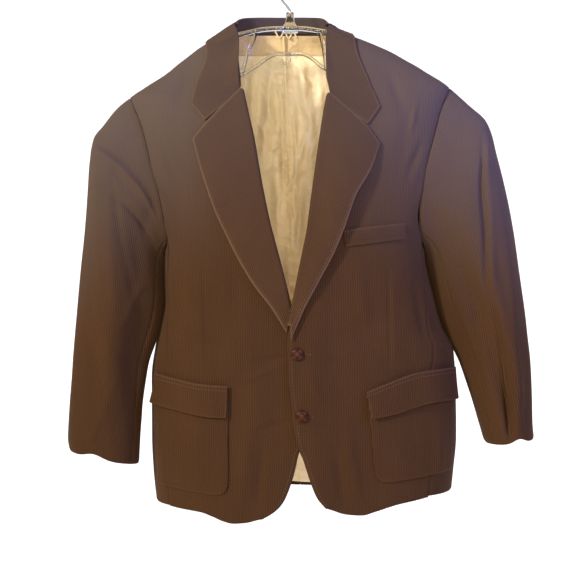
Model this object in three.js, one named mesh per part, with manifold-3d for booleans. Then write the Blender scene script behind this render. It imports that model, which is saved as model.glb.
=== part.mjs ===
// A two-button corduroy jacket on a clear hanger, one solid for each piece that is cut and sewn.
// Millimetres, +X to the viewer's right, +Y to the back, +Z up. The origin is the inner top of the
// hook, where a rail carries it. The piece names and the tables of fronts, hems, sleeves and lapels
// use the wearer's left and right: the viewer's right front is front_left and buttons on top. The
// side lines, the side seams and every "left" or "right" key are the viewer's.

import * as THREE from 'three';
import { mergeVertices } from 'three/addons/utils/BufferGeometryUtils.js';
import Module from 'manifold-3d';

const wasm = await Module();
wasm.setup();

const { cos, sin, PI, sign, abs, min, max } = Math;
const DEG = PI / 180;

// Cloth thicknesses and clearances
const SHELL = 2.0;
const LAPEL = 3.0;
const FACING = 1.6;
const LINING = 1.2;
const PATCH = 1.8;
const SEAM = 0.2;
const LAYER = 1.2;
const INNER_GAP = 1.8;
const OVERLAP = 6.2;

// Body sections
const ROUNDNESS = 2.5;
const NECK_Z = -86;
const ARMPIT_Z = -440;
const HEM_ZONE_Z = -700;
const HOLE_HALF_ANGLE = 27.5;
const HOLE_JOIN = 129 * DEG;
// Height of the front edge's lower end, where the cutaway meets the hem
const EDGE_END_Z = { left: -850, right: -832 };
const SHOULDER_Z = { left: -197, right: -181 };
// Height of the hem at the side panel's front and back seams
const SIDE_HEM = { left: [-837.5, -837], right: [-820.5, -818] };
const PANEL_ROWS = { shoulder: 5, hole: 6, lower: 13 };

// Height, side of the body at the viewer's left
const LEFT_SIDE = [
  [-80, -86], [-84, -92], [-126, -155], [-160, -198], [-188, -241], [-197, -254],
  [-243, -245], [-299, -238], [-346, -228], [-385, -218], [-440, -200], [-520, -200],
  [-560, -208], [-592, -215], [-640, -221], [-736, -221], [-784, -219], [-870, -210],
];
// Height, side of the body at the viewer's right
const RIGHT_SIDE = [
  [-80, 58], [-88, 72], [-101, 104], [-118, 147], [-160, 222], [-172, 241], [-181, 253],
  [-218, 246], [-267, 240], [-315, 232], [-362, 224], [-409, 218], [-440, 215], [-520, 231],
  [-560, 243], [-592, 260], [-640, 264], [-736, 266], [-784, 262], [-870, 253],
];
// Height, depth of the front, depth of the back
const DEPTHS = [
  [-80, 10, 64], [-101, 16, 70], [-126, 27, 76], [-165, 43, 82], [-187, 53, 84], [-239, 77, 87],
  [-332, 96, 84], [-416, 106, 80], [-500, 112, 80], [-640, 112, 84], [-740, 109, 88], [-870, 104, 90],
];

// Height, distance across of the edge at the centre: neck, roll line, front edge and cutaway
const RIGHT_FRONT_EDGE = [
  [-80, -82], [-101, -84], [-126, -82], [-165, -79], [-187, -83], [-239, -65], [-332, -49],
  [-416, -30], [-500, -7.5], [-533, 3], [-560, 16], [-590, 27], [-620, 30], [-690, 30],
  [-720, 26], [-748, 13.6], [-768, 9], [-786, 4.5], [-808, -3], [-824, -10.6], [-838, -23],
  [-850, -42],
];
const LEFT_FRONT_EDGE = [
  [-80, 52], [-101, 60], [-126, 58], [-165, 56], [-193, 62], [-255, 51], [-317, 43],
  [-409, 30], [-515, 10.6], [-545, 0], [-556, -1.5], [-582, -4], [-643, -1.5], [-680, 3],
  [-710, 6], [-734, 10.6], [-756, 19.6], [-779, 27], [-802, 35], [-817, 42], [-832, 54],
];

// Height, angle of the side panel's front seam from the side of the body, in degrees
const LEFT_SEAM = [
  [-440, 19], [-520, 18.5], [-560, 24.6], [-592, 28.3], [-640, 31.5], [-736, 32], [-870, 28.5],
];
const RIGHT_SEAM = [
  [-440, 18], [-520, 27], [-592, 36], [-640, 40], [-740, 40], [-870, 37.5],
];
const BACK_SEAM = [[-440, 27], [-640, 31], [-870, 30]];

// Distance across, height of the hem
const RIGHT_FRONT_HEM = [
  [-215, -838], [-202, -837], [-160, -839], [-122, -842], [-103, -848], [-89, -854],
  [-75, -857.5], [-60, -856], [-42, -850],
];
const LEFT_FRONT_HEM = [
  [54, -832], [76, -842], [97, -844], [115, -839], [153, -829], [191, -824], [232, -819], [260, -814],
];
const BACK_HEM = [[-222, -840], [-120, -832], [-40, -829], [40, -834], [120, -828], [264, -814]];

// Soft folds pressed into or raised from the body: from x, z to x, z, half width, height
const BODY_FOLDS = [
  [-190, -230, -160, -330, 16, -4],
  [188, -230, 165, -330, 16, -4],
  [-60, -560, -170, -520, 22, -3],
  [70, -570, 190, -520, 22, -3],
  [-20, -620, -90, -760, 26, 3],
  [60, -640, 100, -800, 24, 3],
];

// Sleeve sections: outer x, outer z, inner x, inner z, half depth, forward shift
const RIGHT_SLEEVE = [
  [-254, -197, -200, -440, 55, 0], [-275, -214, -203, -446, 57, 0], [-296, -240, -203, -452, 59, 1],
  [-312, -262, -203, -458, 60, 2], [-318, -300, -203.5, -465, 61, 4], [-322, -353, -203.5, -478, 62, 7],
  [-326, -410, -203.5, -495, 62, 11], [-332, -470, -203.5, -515, 60, 15], [-337, -530, -208, -545, 58, 19],
  [-341, -580, -217, -578, 55, 23], [-344, -630, -228, -620, 51, 28], [-348, -685, -232, -675, 47, 33],
  [-350, -731, -236, -730, 43, 38], [-347, -752, -238, -774, 41, 41],
];
const LEFT_SLEEVE = [
  [253, -181, 215, -440, 55, 0], [285, -209, 219, -448, 57, 0], [311, -233, 222, -458, 59, 1],
  [321, -256, 225, -470, 60, 2], [327, -281, 228, -488, 61, 3], [339, -329, 234, -517, 62, 6],
  [349, -376, 245, -549, 62, 9], [357, -424, 260, -583, 61, 12], [363, -471, 275, -614, 60, 15],
  [369, -519, 286, -655, 58, 19], [374, -567, 291, -680, 56, 23], [379, -614, 296, -700, 54, 27],
  [381, -662, 301, -718, 52, 31], [382, -709, 305, -733, 50, 35], [384, -733, 308, -741, 49, 37],
];
// How far each sleeve section still keeps the shape of the armhole
const ARMHOLE_FADE = [1, 0.72, 0.42, 0.2, 0.07];
const ARMHOLE_CLEARANCE = 0.7;
// Sleeve folds: start section, start angle, end section, end angle, half width in degrees, height
const RIGHT_SLEEVE_FOLDS = [
  [3, 40, 10, 100, 16, 5], [4, 112, 11, 140, 18, -6], [1, 75, 5, 60, 14, -4], [7, 230, 11, 200, 20, -5],
];
const LEFT_SLEEVE_FOLDS = [
  [5, 118, 13, 92, 13, -9], [5, 86, 13, 68, 12, 4], [1, 75, 5, 60, 14, -4], [6, 215, 11, 235, 20, -5],
];
// Angles of the two seams along a sleeve, in degrees
const FOREARM_SEAM = { left: 150, right: 140 };
const HINDARM_SEAM = { left: -75, right: -50 };

// Lapels: place down the roll line, its distance across and height, the same of the outer edge
// beside it, and how far the lapel stands off the chest
const RIGHT_LAPEL = [
  [0, -82, -190, -149, -268, 0], [1, -70, -226, -138, -308, 1], [2, -60, -266, -126, -345, 2],
  [3, -52, -312, -114, -378, 2], [4, -43, -360, -96, -416, 1.5], [5, -33, -405, -78, -452, 1],
  [6, -21, -450, -54, -491, 1], [7, -11, -486, -28, -525, 0.5], [8, -6, -508, -10, -545, 0],
];
const LEFT_LAPEL = [
  [0, 62, -197, 137, -276, 0.5], [1, 55, -235, 122, -316, 6], [2, 50, -268, 108, -339, 9],
  [3, 43, -317, 98, -356, 10], [4, 37, -360, 82, -402, 9], [5, 31, -405, 65, -444, 7],
  [6, 21, -455, 43, -485, 4], [7, 12, -503, 22, -518, 2], [8, 3, -538, 6, -547, 1],
];
const LAPEL_NOTCH = { left: [-128, -243], right: [117, -248] };
// Place of the notch along the lapel's top edge
const NOTCH_SHARE = 0.67;
const FACING_WIDTH = 62;
// How much narrower the facing gets towards the bottom
const FACING_TAPER = 0.45;
const LAPEL_GAP = 2.3;
const FACING_TUCK = 0.5;
const LAPEL_ROWS = 14;

// Collar, from the viewer's left end round the back to the right end:
// neck seam x, y, z, roll x, y, z, outer edge x, y, z
const COLLAR = [
  [-83, -46, -180, -84, -54, -183, -130, -62, -236],
  [-82, -40, -168, -82, -50, -172, -151, -45, -216],
  [-82, -28, -142, -80, -41, -146, -148, -26, -184],
  [-85, -10, -108, -81, -22, -110, -132, -10, -149],
  [-93, 14, -85.6, -85, 12, -74, -122, 14, -113],
  [-87, 36, -85.6, -79, 38, -61, -112, 52, -113],
  [-58, 59.7, -85.6, -56, 57, -56, -68, 74, -108],
  [-13, 66, -85.6, -13, 63, -55, -13, 79, -106],
  [30, 60.4, -85.6, 30, 57, -56, 42, 75, -106],
  [61, 36, -85.6, 53, 38, -61, 84, 54, -104],
  [67.5, 14, -85.6, 58, 12, -76, 92, 14, -104],
  [62, -10, -108, 57, -22, -113, 107, -10, -138],
  [60, -28, -144, 57, -41, -148, 131, -26, -182],
  [61, -40, -172, 60, -50, -179, 137, -47, -217],
  [62, -46, -186, 63, -55, -190, 118, -64, -241],
];
// Radii of the collar's roll, outside and inside, and the swell of its fall
const ROLL_OUTER = 3.4;
const ROLL_INNER = 1.0;
const FALL_SWELL = 4;
// Extra height of the collar over the shoulder seams, and how far forward it reaches
const RIDGE_GAP = 7;
const RIDGE_REACH = 22;

// Patch pockets: corners x, z from the top left, clockwise, with the corner radius below
const POCKETS = [
  {
    name: 'pocket_right',
    corners: [[-206, -640], [-96, -646], [-103, -816], [-208, -804]],
    round: 'right',
  },
  {
    name: 'pocket_left',
    corners: [[118, -656], [255, -631], [253, -783], [132, -797]],
    round: 'left',
  },
];
// Pocket flaps: along the top and along the bottom, x and z
const FLAPS = [
  {
    name: 'flap_right',
    top: [[-206, -629], [-170, -635], [-137, -641], [-93, -643]],
    bottom: [[-213, -677], [-161, -687], [-130, -692], [-99, -693]],
  },
  {
    name: 'flap_left',
    top: [[115, -652], [142, -641], [193, -624], [256, -620]],
    bottom: [[122, -694], [160, -688], [210, -674], [259, -672]],
  },
];
const WELT = {
  top: [[80.5, -407], [128, -401], [176, -396]],
  bottom: [[84, -433], [131, -427], [178, -421]],
};
const POCKET_CORNER = 26;
// How far along its bottom edge a pocket takes extra points before the round corner
const POCKET_STRAIGHT = 80;

// Buttons: distance across, height
const BUTTONS = { button_upper: [11, -595], button_lower: [18, -689] };
const BUTTON_R = 9.5;
const BUTTON_H = 5;
const CUFF_BUTTON_R = 7.5;
const CUFF_BUTTON_H = 4;
// Distance of a button's underside from the cloth
const BUTTON_GAP = 0.5;
const CUFF_BUTTON_GAP = 0.35;

// Hanger
const HOOK_R = 21.75;
const HOOK_WIRE = 1.75;
const BAR_R = 4;
const NECK_TOP_Z = -62;
const HANGER_BASE_Z = -94;
const RAIL_R = 3;
const J_R = 2;
// Depth of the shoulder bars under the shoulder seams
const ARM_REST = 7.0;
// Shoulder bars: distances across where they follow the seams, and x and z at the neck
const ARM_STATIONS = [-218, -196, -172, -148, -124, -104];
const ARM_MIDDLE = [[-78, -96], [-45, -89], [-15, -87], [15, -87], [42, -90]];
const ARM_STATIONS_RIGHT = [76, 100, 124, 148, 172, 196, 218];
// Front rails, struts and small centre hook: x, y, z of the points that they pass
const HANGER_RAIL = [
  [-205, 0, -184], [-150, -4, -180], [-110, -8, -173], [-78, -10, -162], [-51, -10, -146], [-32, -10, -133],
  [-16, -8, -128], [0, -8, -128], [19, -8, -128], [35, -10, -136], [56, -10, -152], [90, -8, -163],
  [140, -4, -170], [205, 0, -170],
];
const HANGER_STRUTS = [
  [[-53, 0, -90], [-58, -8, -107], [-67, -12, -128], [-76, -11, -160]],
  [[45, 0, -91], [50, -8, -105], [54, -12, -126], [57, -11, -153]],
];
const HANGER_J = [[0, -8, -127], [0, -8, -136], [-3, -8, -142], [-9, -8, -143], [-13, -8, -138]];
// Zigzag of the hang loop: x and z
const HANG_LOOP = [[-24, -82], [-17, -92], [-9, -83], [-2, -93], [5, -83], [11, -92]];
const HANG_LOOP_R = 1.3;
// Lining: angle of its outer edge from the side, depth under the cloth, seam of the neck band, hem
const LINING_EDGE = 34;
const LINING_DEPTH = -SHELL - INNER_GAP - 0.8;
const NECK_BAND_Z = -119;
const NECK_BAND_GAP = 0.1;
const LINING_TOP_Z = -87;
const LINING_LIFT = 24;

// Colour, roughness, metalness
const CORDUROY = [0x6a5442, 0.95];
const SATIN = [0xd6b682, 0.45];
const LEATHER = [0x3a1710, 0.3];
const CLEAR = [0xe6ecee, 0.1];
const STEEL = [0xb8bcc0, 0.25, 1];

const ease = (t) => {
  const s = min(max(t, 0), 1);
  return s * s * (3 - 2 * s);
};
const mix = (a, b, t) => a + (b - a) * t;
const vec = (x, y, z) => new THREE.Vector3(x, y, z);

// A smooth curve through a table whose first column only rises or only falls
function along(table) {
  const rows = [...table].sort((a, b) => a[0] - b[0]);
  const slope = (i, c) => (rows[i + 1][c] - rows[i][c]) / (rows[i + 1][0] - rows[i][0]);
  const tangent = (i, c) => {
    if (i === 0) return slope(0, c);
    if (i === rows.length - 1) return slope(i - 1, c);
    const before = slope(i - 1, c);
    const after = slope(i, c);
    return before * after <= 0 ? 0 : (2 * before * after) / (before + after);
  };
  return (at) => {
    const s = min(max(at, rows[0][0]), rows[rows.length - 1][0]);
    let i = 0;
    while (i < rows.length - 2 && rows[i + 1][0] < s) i += 1;
    const h = rows[i + 1][0] - rows[i][0];
    const t = (s - rows[i][0]) / h;
    return rows[i].slice(1).map((value, k) => {
      const c = k + 1;
      const t2 = t * t;
      const t3 = t2 * t;
      return value * (2 * t3 - 3 * t2 + 1) + h * tangent(i, c) * (t3 - 2 * t2 + t)
        + rows[i + 1][c] * (3 * t2 - 2 * t3) + h * tangent(i + 1, c) * (t3 - t2);
    });
  };
}

const leftSide = along(LEFT_SIDE);
const rightSide = along(RIGHT_SIDE);
const depths = along(DEPTHS);

// Middle, half width, front and back depth of the body's section at a height
function section(z) {
  const [left] = leftSide(z);
  const [right] = rightSide(z);
  const [front, back] = depths(z);
  return { middle: (left + right) / 2, half: (right - left) / 2, front, back };
}

// Angle round the section, 0 at the viewer's right side, pi at the left, the front between
function angleAt(x, z) {
  const { middle, half } = section(z);
  const c = min(max((x - middle) / half, -1), 1);
  return Math.acos(sign(c) * abs(c) ** (ROUNDNESS / 2));
}

function distanceToLine(x, z, [x0, z0, x1, z1]) {
  const dx = x1 - x0;
  const dz = z1 - z0;
  const t = min(max(((x - x0) * dx + (z - z0) * dz) / (dx * dx + dz * dz), 0), 1);
  return [Math.hypot(x - x0 - t * dx, z - z0 - t * dz), t];
}

function foldHeight(x, z) {
  return BODY_FOLDS.reduce((sum, fold) => {
    const [distance, t] = distanceToLine(x, z, fold);
    const fade = 0.35 + 0.65 * sin(PI * t);
    return sum + fold[5] * fade * Math.exp(-((distance / fold[4]) ** 2));
  }, 0);
}

// A point of the body's cloth at an angle and a height
function bodyPoint(angle, z) {
  const { middle, half, front, back } = section(z);
  const power = 2 / ROUNDNESS;
  const x = middle + half * sign(cos(angle)) * abs(cos(angle)) ** power;
  const rise = abs(sin(angle)) ** power;
  const isFront = sin(angle) >= 0;
  const y = isFront ? -front * rise - foldHeight(x, z) * rise : back * rise;
  return vec(x, y, z);
}

function bodyNormal(angle, z) {
  const step = 0.02;
  const across = bodyPoint(angle + step, z).sub(bodyPoint(angle - step, z));
  const up = bodyPoint(angle, z + 2).sub(bodyPoint(angle, z - 2));
  return across.cross(up).normalize().negate();
}

// A point moved out from the front of the body, by its distance across and height
function onFront(x, z, out) {
  const angle = angleAt(x, z);
  return bodyPoint(angle, z).addScaledVector(bodyNormal(angle, z), out);
}

// How far a point lies outside the body's surface, from the shape of the section at its height
function bodyLevel(p) {
  const { middle, half, front, back } = section(p.z);
  const depth = p.y < 0 ? front : back;
  const reach = abs((p.x - middle) / half) ** ROUNDNESS + abs(p.y / depth) ** ROUNDNESS;
  return reach ** (1 / ROUNDNESS) - 1;
}

// Moves a point out until it is clear of the body
function clearBody(point, clearance) {
  const p = point.clone();
  const step = 0.5;
  for (let i = 0; i < 8 && p.z < NECK_Z + 5; i += 1) {
    const level = bodyLevel(p);
    const slope = ['x', 'y', 'z'].map((axis) => {
      const q = p.clone();
      q[axis] += step;
      return (bodyLevel(q) - level) / step;
    });
    const length = Math.hypot(...slope);
    const lack = clearance + (p.y < 0 ? foldHeight(p.x, p.z) : 0) - level / length;
    if (lack < 0.02) break;
    p.add(vec(...slope).multiplyScalar(min(lack, 6) / length));
  }
  return p;
}

// Angle of the armhole's edge from the side of the body, and its height, turn 0 at the shoulder
function armhole(side, turn) {
  const top = SHOULDER_Z[side];
  const z = (top + ARMPIT_Z) / 2 + ((top - ARMPIT_Z) / 2) * cos(turn);
  const spread = HOLE_HALF_ANGLE * DEG * abs(sin(turn)) ** 0.75 * (1 - 0.25 * cos(turn));
  return { z, spread };
}

const sideAngle = (side, spread, isFront) => {
  if (side === 'left') return isFront ? PI - spread : PI + spread;
  return isFront ? spread : 2 * PI - spread;
};

// A closed solid between two grids of points with the same rows and columns
function between(outer, inner) {
  const rows = outer.length;
  const cols = outer[0].length;
  const position = [outer, inner].flat(2).flatMap((p) => [p.x, p.y, p.z]);
  const at = (layer, i, j) => layer * rows * cols + i * cols + j;
  const index = [];
  const quad = (a, b, c, d) => index.push(a, b, c, a, c, d);
  for (let i = 0; i < rows - 1; i += 1) {
    for (let j = 0; j < cols - 1; j += 1) {
      quad(at(0, i, j), at(0, i, j + 1), at(0, i + 1, j + 1), at(0, i + 1, j));
      quad(at(1, i, j), at(1, i + 1, j), at(1, i + 1, j + 1), at(1, i, j + 1));
    }
    quad(at(0, i, 0), at(0, i + 1, 0), at(1, i + 1, 0), at(1, i, 0));
    quad(at(0, i, cols - 1), at(1, i, cols - 1), at(1, i + 1, cols - 1), at(0, i + 1, cols - 1));
  }
  for (let j = 0; j < cols - 1; j += 1) {
    quad(at(0, 0, j), at(1, 0, j), at(1, 0, j + 1), at(0, 0, j + 1));
    quad(at(0, rows - 1, j), at(0, rows - 1, j + 1), at(1, rows - 1, j + 1), at(1, rows - 1, j));
  }
  const geometry = new THREE.BufferGeometry();
  geometry.setAttribute('position', new THREE.Float32BufferAttribute(position, 3));
  geometry.setIndex(index);
  return facingOut(geometry);
}

// Turns the faces out, by the sign of the enclosed volume
function facingOut(geometry) {
  const p = geometry.attributes.position;
  const index = geometry.index.array;
  const corner = (k) => vec(p.getX(index[k]), p.getY(index[k]), p.getZ(index[k]));
  let volume = 0;
  for (let k = 0; k < index.length; k += 3) {
    volume += corner(k).dot(corner(k + 1).cross(corner(k + 2)));
  }
  if (volume < 0) {
    for (let k = 0; k < index.length; k += 3) {
      [index[k + 1], index[k + 2]] = [index[k + 2], index[k + 1]];
    }
  }
  geometry.computeVertexNormals();
  return geometry;
}

// Draws the four edges of a grid in, so that neighbours stay a seam apart
function inset(grid) {
  const pull = (p, q) => p.add(q.clone().sub(p).setLength(SEAM));
  grid.forEach((row) => {
    pull(row[0], row[1]);
    pull(row[row.length - 1], row[row.length - 2]);
  });
  grid[0].forEach((p, j) => pull(p, grid[1][j]));
  grid[grid.length - 1].forEach((p, j) => pull(p, grid[grid.length - 2][j]));
  return grid;
}

// Cloth between two depths: makeGrid gives the points at a height above the surface
function cloth(makeGrid, top, bottom) {
  return between(inset(makeGrid(top)), inset(makeGrid(bottom)));
}

// Heights of the rows down a body panel: shoulder, armhole, then side seam to the hem
function panelRows(side, hemZ) {
  const { shoulder, hole, lower } = PANEL_ROWS;
  const rows = [];
  for (let i = 0; i < shoulder; i += 1) {
    rows.push({ z: mix(NECK_Z, SHOULDER_Z[side], i / shoulder), turn: 0 });
  }
  for (let i = 0; i < hole; i += 1) {
    const turn = HOLE_JOIN * (i / hole);
    rows.push({ z: armhole(side, turn).z, turn });
  }
  const joinZ = armhole(side, HOLE_JOIN).z;
  for (let i = 0; i <= lower; i += 1) rows.push({ z: mix(joinZ, hemZ, i / lower) });
  return rows;
}

// Angle from the side of the body to a panel's seam at a row
function seamSpread(side, row, table) {
  if (row.turn !== undefined) return armhole(side, row.turn).spread;
  const join = armhole(side, HOLE_JOIN);
  const rows = [[join.z, join.spread / DEG], ...table];
  return along(rows)(row.z)[0] * DEG;
}

// Fills a panel between its two edges, drawn down to its hem
function panelGrid({ rows, cols, outerAngle, innerAngle, innerZ, hem, height }) {
  const hemRow = rows[rows.length - 1];
  const hemAt = along(hem);
  const innerEnd = innerZ(hemRow);
  const outerX = bodyPoint(outerAngle(hemRow), hemRow.z).x;
  const innerX = bodyPoint(innerAngle(innerEnd), innerEnd).x;
  return rows.map((row) => Array.from({ length: cols + 1 }, (_, j) => {
    const u = j / cols;
    const share = ease((HEM_ZONE_Z - row.z) / (HEM_ZONE_Z - hemRow.z));
    const drop = (x, from) => (hemAt(x)[0] - from) * share;
    const innerLevel = innerZ(row) + drop(innerX, innerEnd);
    const angle = mix(outerAngle(row), innerAngle(innerLevel), u);
    const level = mix(row.z, innerZ(row), u)
      + drop(mix(outerX, innerX, u), mix(hemRow.z, innerEnd, u));
    const point = bodyPoint(angle, level);
    return point.addScaledVector(bodyNormal(angle, level), height(point.x, level));
  }));
}

// The front whose edge lies on top is raised where it covers the other
const overlapLift = (x, z) => OVERLAP * ease((80 - x) / 50) * ease((-440 - z) / 60);

function frontGrid(side, depth) {
  const isLeft = side === 'left';
  const edge = along(isLeft ? RIGHT_FRONT_EDGE : LEFT_FRONT_EDGE);
  const hem = isLeft ? RIGHT_FRONT_HEM : LEFT_FRONT_HEM;
  const outerEnd = SIDE_HEM[side][0];
  const rows = panelRows(side, outerEnd);
  const joinZ = armhole(side, HOLE_JOIN).z;
  const innerZ = ({ z }) => {
    if (z > joinZ) return z;
    return mix(joinZ, EDGE_END_Z[side], (z - joinZ) / (outerEnd - joinZ));
  };
  return panelGrid({
    rows,
    cols: 12,
    hem,
    innerZ,
    outerAngle: (row) => sideAngle(side, seamSpread(side, row, isLeft ? LEFT_SEAM : RIGHT_SEAM), true),
    innerAngle: (z) => angleAt(edge(z)[0], z),
    height: (x, z) => depth + (isLeft ? 0 : overlapLift(x, z)),
  });
}

// Centre back seam
const centreBack = (z) => mix(-13, 15, (NECK_Z - z) / 700);
const backAngle = (x, z) => 2 * PI - angleAt(x, z);

function backGrid(side, depth) {
  return panelGrid({
    rows: panelRows(side, SIDE_HEM[side][1]),
    cols: 8,
    hem: BACK_HEM,
    innerZ: (row) => row.z,
    outerAngle: (row) => sideAngle(side, seamSpread(side, row, BACK_SEAM), false),
    innerAngle: (z) => backAngle(centreBack(z), z),
    height: () => depth,
  });
}

// Lower edges of the back lining and of the neck band
const liningHem = (x) => along(BACK_HEM)(x)[0] + LINING_LIFT;
const bandHem = () => NECK_BAND_Z + NECK_BAND_GAP;

// Lining or neck band inside the back, from the centre seam out to its edge
function insideBack(side, top, bottom, rows, depth) {
  const cols = 5;
  const edge = sideAngle(side, LINING_EDGE * DEG, false);
  return Array.from({ length: rows + 1 }, (_, i) => Array.from({ length: cols + 1 }, (_2, j) => {
    const low = bottom(bodyPoint(mix(edge, 1.5 * PI, j / cols), -800).x);
    const z = mix(top, low, i / rows);
    const angle = mix(edge, backAngle(centreBack(z), z), j / cols);
    return bodyPoint(angle, z).addScaledVector(bodyNormal(angle, z), depth);
  }));
}

function sideGrid(side, depth) {
  const cols = 6;
  const rows = PANEL_ROWS.lower;
  const isLeft = side === 'left';
  const spreadAcross = (z, u) => {
    const front = seamSpread(side, { z }, isLeft ? LEFT_SEAM : RIGHT_SEAM);
    const back = seamSpread(side, { z }, BACK_SEAM);
    return mix(front, -back, u);
  };
  return Array.from({ length: rows + 1 }, (_, i) => Array.from({ length: cols + 1 }, (_2, j) => {
    const u = j / cols;
    const turn = mix(HOLE_JOIN, 2 * PI - HOLE_JOIN, u);
    const hole = armhole(side, turn);
    const z = mix(hole.z, mix(...SIDE_HEM[side], u), i / rows);
    const start = hole.spread * (turn <= PI ? 1 : -1) - spreadAcross(hole.z, u);
    const spread = spreadAcross(z, u) + start * (1 - ease(i / 4));
    const angle = isLeft ? PI - spread : spread;
    return bodyPoint(angle, z).addScaledVector(bodyNormal(angle, z), depth);
  }));
}

function sleeveFold(folds, k, phi) {
  return folds.reduce((sum, [k0, a0, k1, a1, halfWidth, height]) => {
    const t = (k - k0) / (k1 - k0);
    const fade = ease((t + 0.15) / 0.35) * ease((1.15 - t) / 0.35);
    const away = ((phi / DEG - mix(a0, a1, t) + 540) % 360) - 180;
    return sum + height * fade * Math.exp(-((away / halfWidth) ** 2));
  }, 0);
}

// A point of a sleeve at a section and an angle, 0 away from the body and 90 at the front
function sleevePoint(side, k, phi) {
  const isLeft = side === 'left';
  const [ox, oz, ix, iz, depth, forward] = (isLeft ? RIGHT_SLEEVE : LEFT_SLEEVE)[k];
  const ellipse = (rx, rz, qx, qz, half, shift) => {
    const share = (1 + cos(phi)) / 2;
    return vec(mix(qx, rx, share), -shift - half * sin(phi), mix(qz, rz, share));
  };
  const point = ellipse(ox, oz, ix, iz, depth, forward);
  const fade = ARMHOLE_FADE[k] ?? 0;
  if (fade > 0) {
    const turn = phi < 0 ? phi + 2 * PI : phi;
    const hole = armhole(side, turn);
    const loop = bodyPoint(sideAngle(side, hole.spread, turn <= PI), hole.z);
    loop.x += isLeft ? -ARMHOLE_CLEARANCE : ARMHOLE_CLEARANCE;
    const [ax, az, bx, bz, half, shift] = (isLeft ? RIGHT_SLEEVE : LEFT_SLEEVE)[0];
    point.add(loop.sub(ellipse(ax, az, bx, bz, half, shift)).multiplyScalar(fade));
  }
  const lift = sleeveFold(isLeft ? RIGHT_SLEEVE_FOLDS : LEFT_SLEEVE_FOLDS, k, phi);
  const outward = vec(isLeft ? -cos(phi) : cos(phi), -sin(phi), 0);
  return point.addScaledVector(outward, lift);
}

function sleeveNormal(side, k, phi) {
  const last = (side === 'left' ? RIGHT_SLEEVE : LEFT_SLEEVE).length - 1;
  const step = 0.06;
  const across = sleevePoint(side, k, phi + step).sub(sleevePoint(side, k, phi - step));
  const down = sleevePoint(side, min(k + 1, last), phi).sub(sleevePoint(side, max(k - 1, 0), phi));
  const normal = across.cross(down).normalize();
  return side === 'left' ? normal.negate() : normal;
}

function sleeveGrid(side, from, to, cols, depth) {
  const count = (side === 'left' ? RIGHT_SLEEVE : LEFT_SLEEVE).length;
  return Array.from({ length: count }, (_, k) => Array.from({ length: cols + 1 }, (_2, j) => {
    const phi = mix(from, to, j / cols) * DEG;
    return sleevePoint(side, k, phi).addScaledVector(sleeveNormal(side, k, phi), depth);
  }));
}

// Facing with its lapel: inside the front, round the roll line and over the chest
function facingGrids(side) {
  const isLeft = side === 'left';
  const table = along(isLeft ? RIGHT_LAPEL : LEFT_LAPEL);
  const out = isLeft ? -1 : 1;
  const inside = 4;
  const turns = 6;
  const across = 6;
  const under = SHELL + INNER_GAP;
  const lastStation = RIGHT_LAPEL.length - 1;
  const place = (x, z, height) => onFront(x, z, height + (isLeft ? 0 : overlapLift(x, z)));
  // The top edge is bent out to the notch
  const topBend = (t) => (t < NOTCH_SHARE ? t / NOTCH_SHARE : (1 - t) / (1 - NOTCH_SHARE));
  const grid = (below, above) => Array.from({ length: LAPEL_ROWS + 1 }, (_, i) => {
    const share = i / LAPEL_ROWS;
    const [rx, rz, ex, ez, lift] = table(lastStation * share);
    const row = [];
    for (let j = 0; j < inside; j += 1) {
      const x = rx + out * FACING_WIDTH * (1 - FACING_TAPER * share) * (1 - j / inside);
      row.push(place(x, rz, j === 0 ? below + FACING_TUCK : below));
    }
    const centre = place(rx, rz, (above + below) / 2);
    const normal = place(rx, rz, (above + below) / 2 + 1).sub(centre).normalize();
    const inward = vec(-out, 0, 0).addScaledVector(normal, out * normal.x).normalize();
    for (let j = 0; j <= turns; j += 1) {
      const angle = -PI / 2 + (PI * j) / turns;
      const radius = (above - below) / 2;
      row.push(centre.clone().addScaledVector(normal, radius * sin(angle))
        .addScaledVector(inward, radius * cos(angle) + 0.4));
    }
    for (let j = 1; j <= across; j += 1) {
      const t = j / across;
      const bend = i > 0 ? 0 : topBend(t);
      const [nx, nz] = LAPEL_NOTCH[side];
      const x = mix(rx, ex, t) + (nx - mix(rx, ex, NOTCH_SHARE)) * bend;
      const z = mix(rz, ez, t) + (nz - mix(rz, ez, NOTCH_SHARE)) * bend;
      row.push(place(x, z, lift * ease(t * 1.3) + above));
    }
    return row;
  });
  return [grid(-under - FACING, LAPEL_GAP + LAPEL), grid(-under, LAPEL_GAP)];
}

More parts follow.
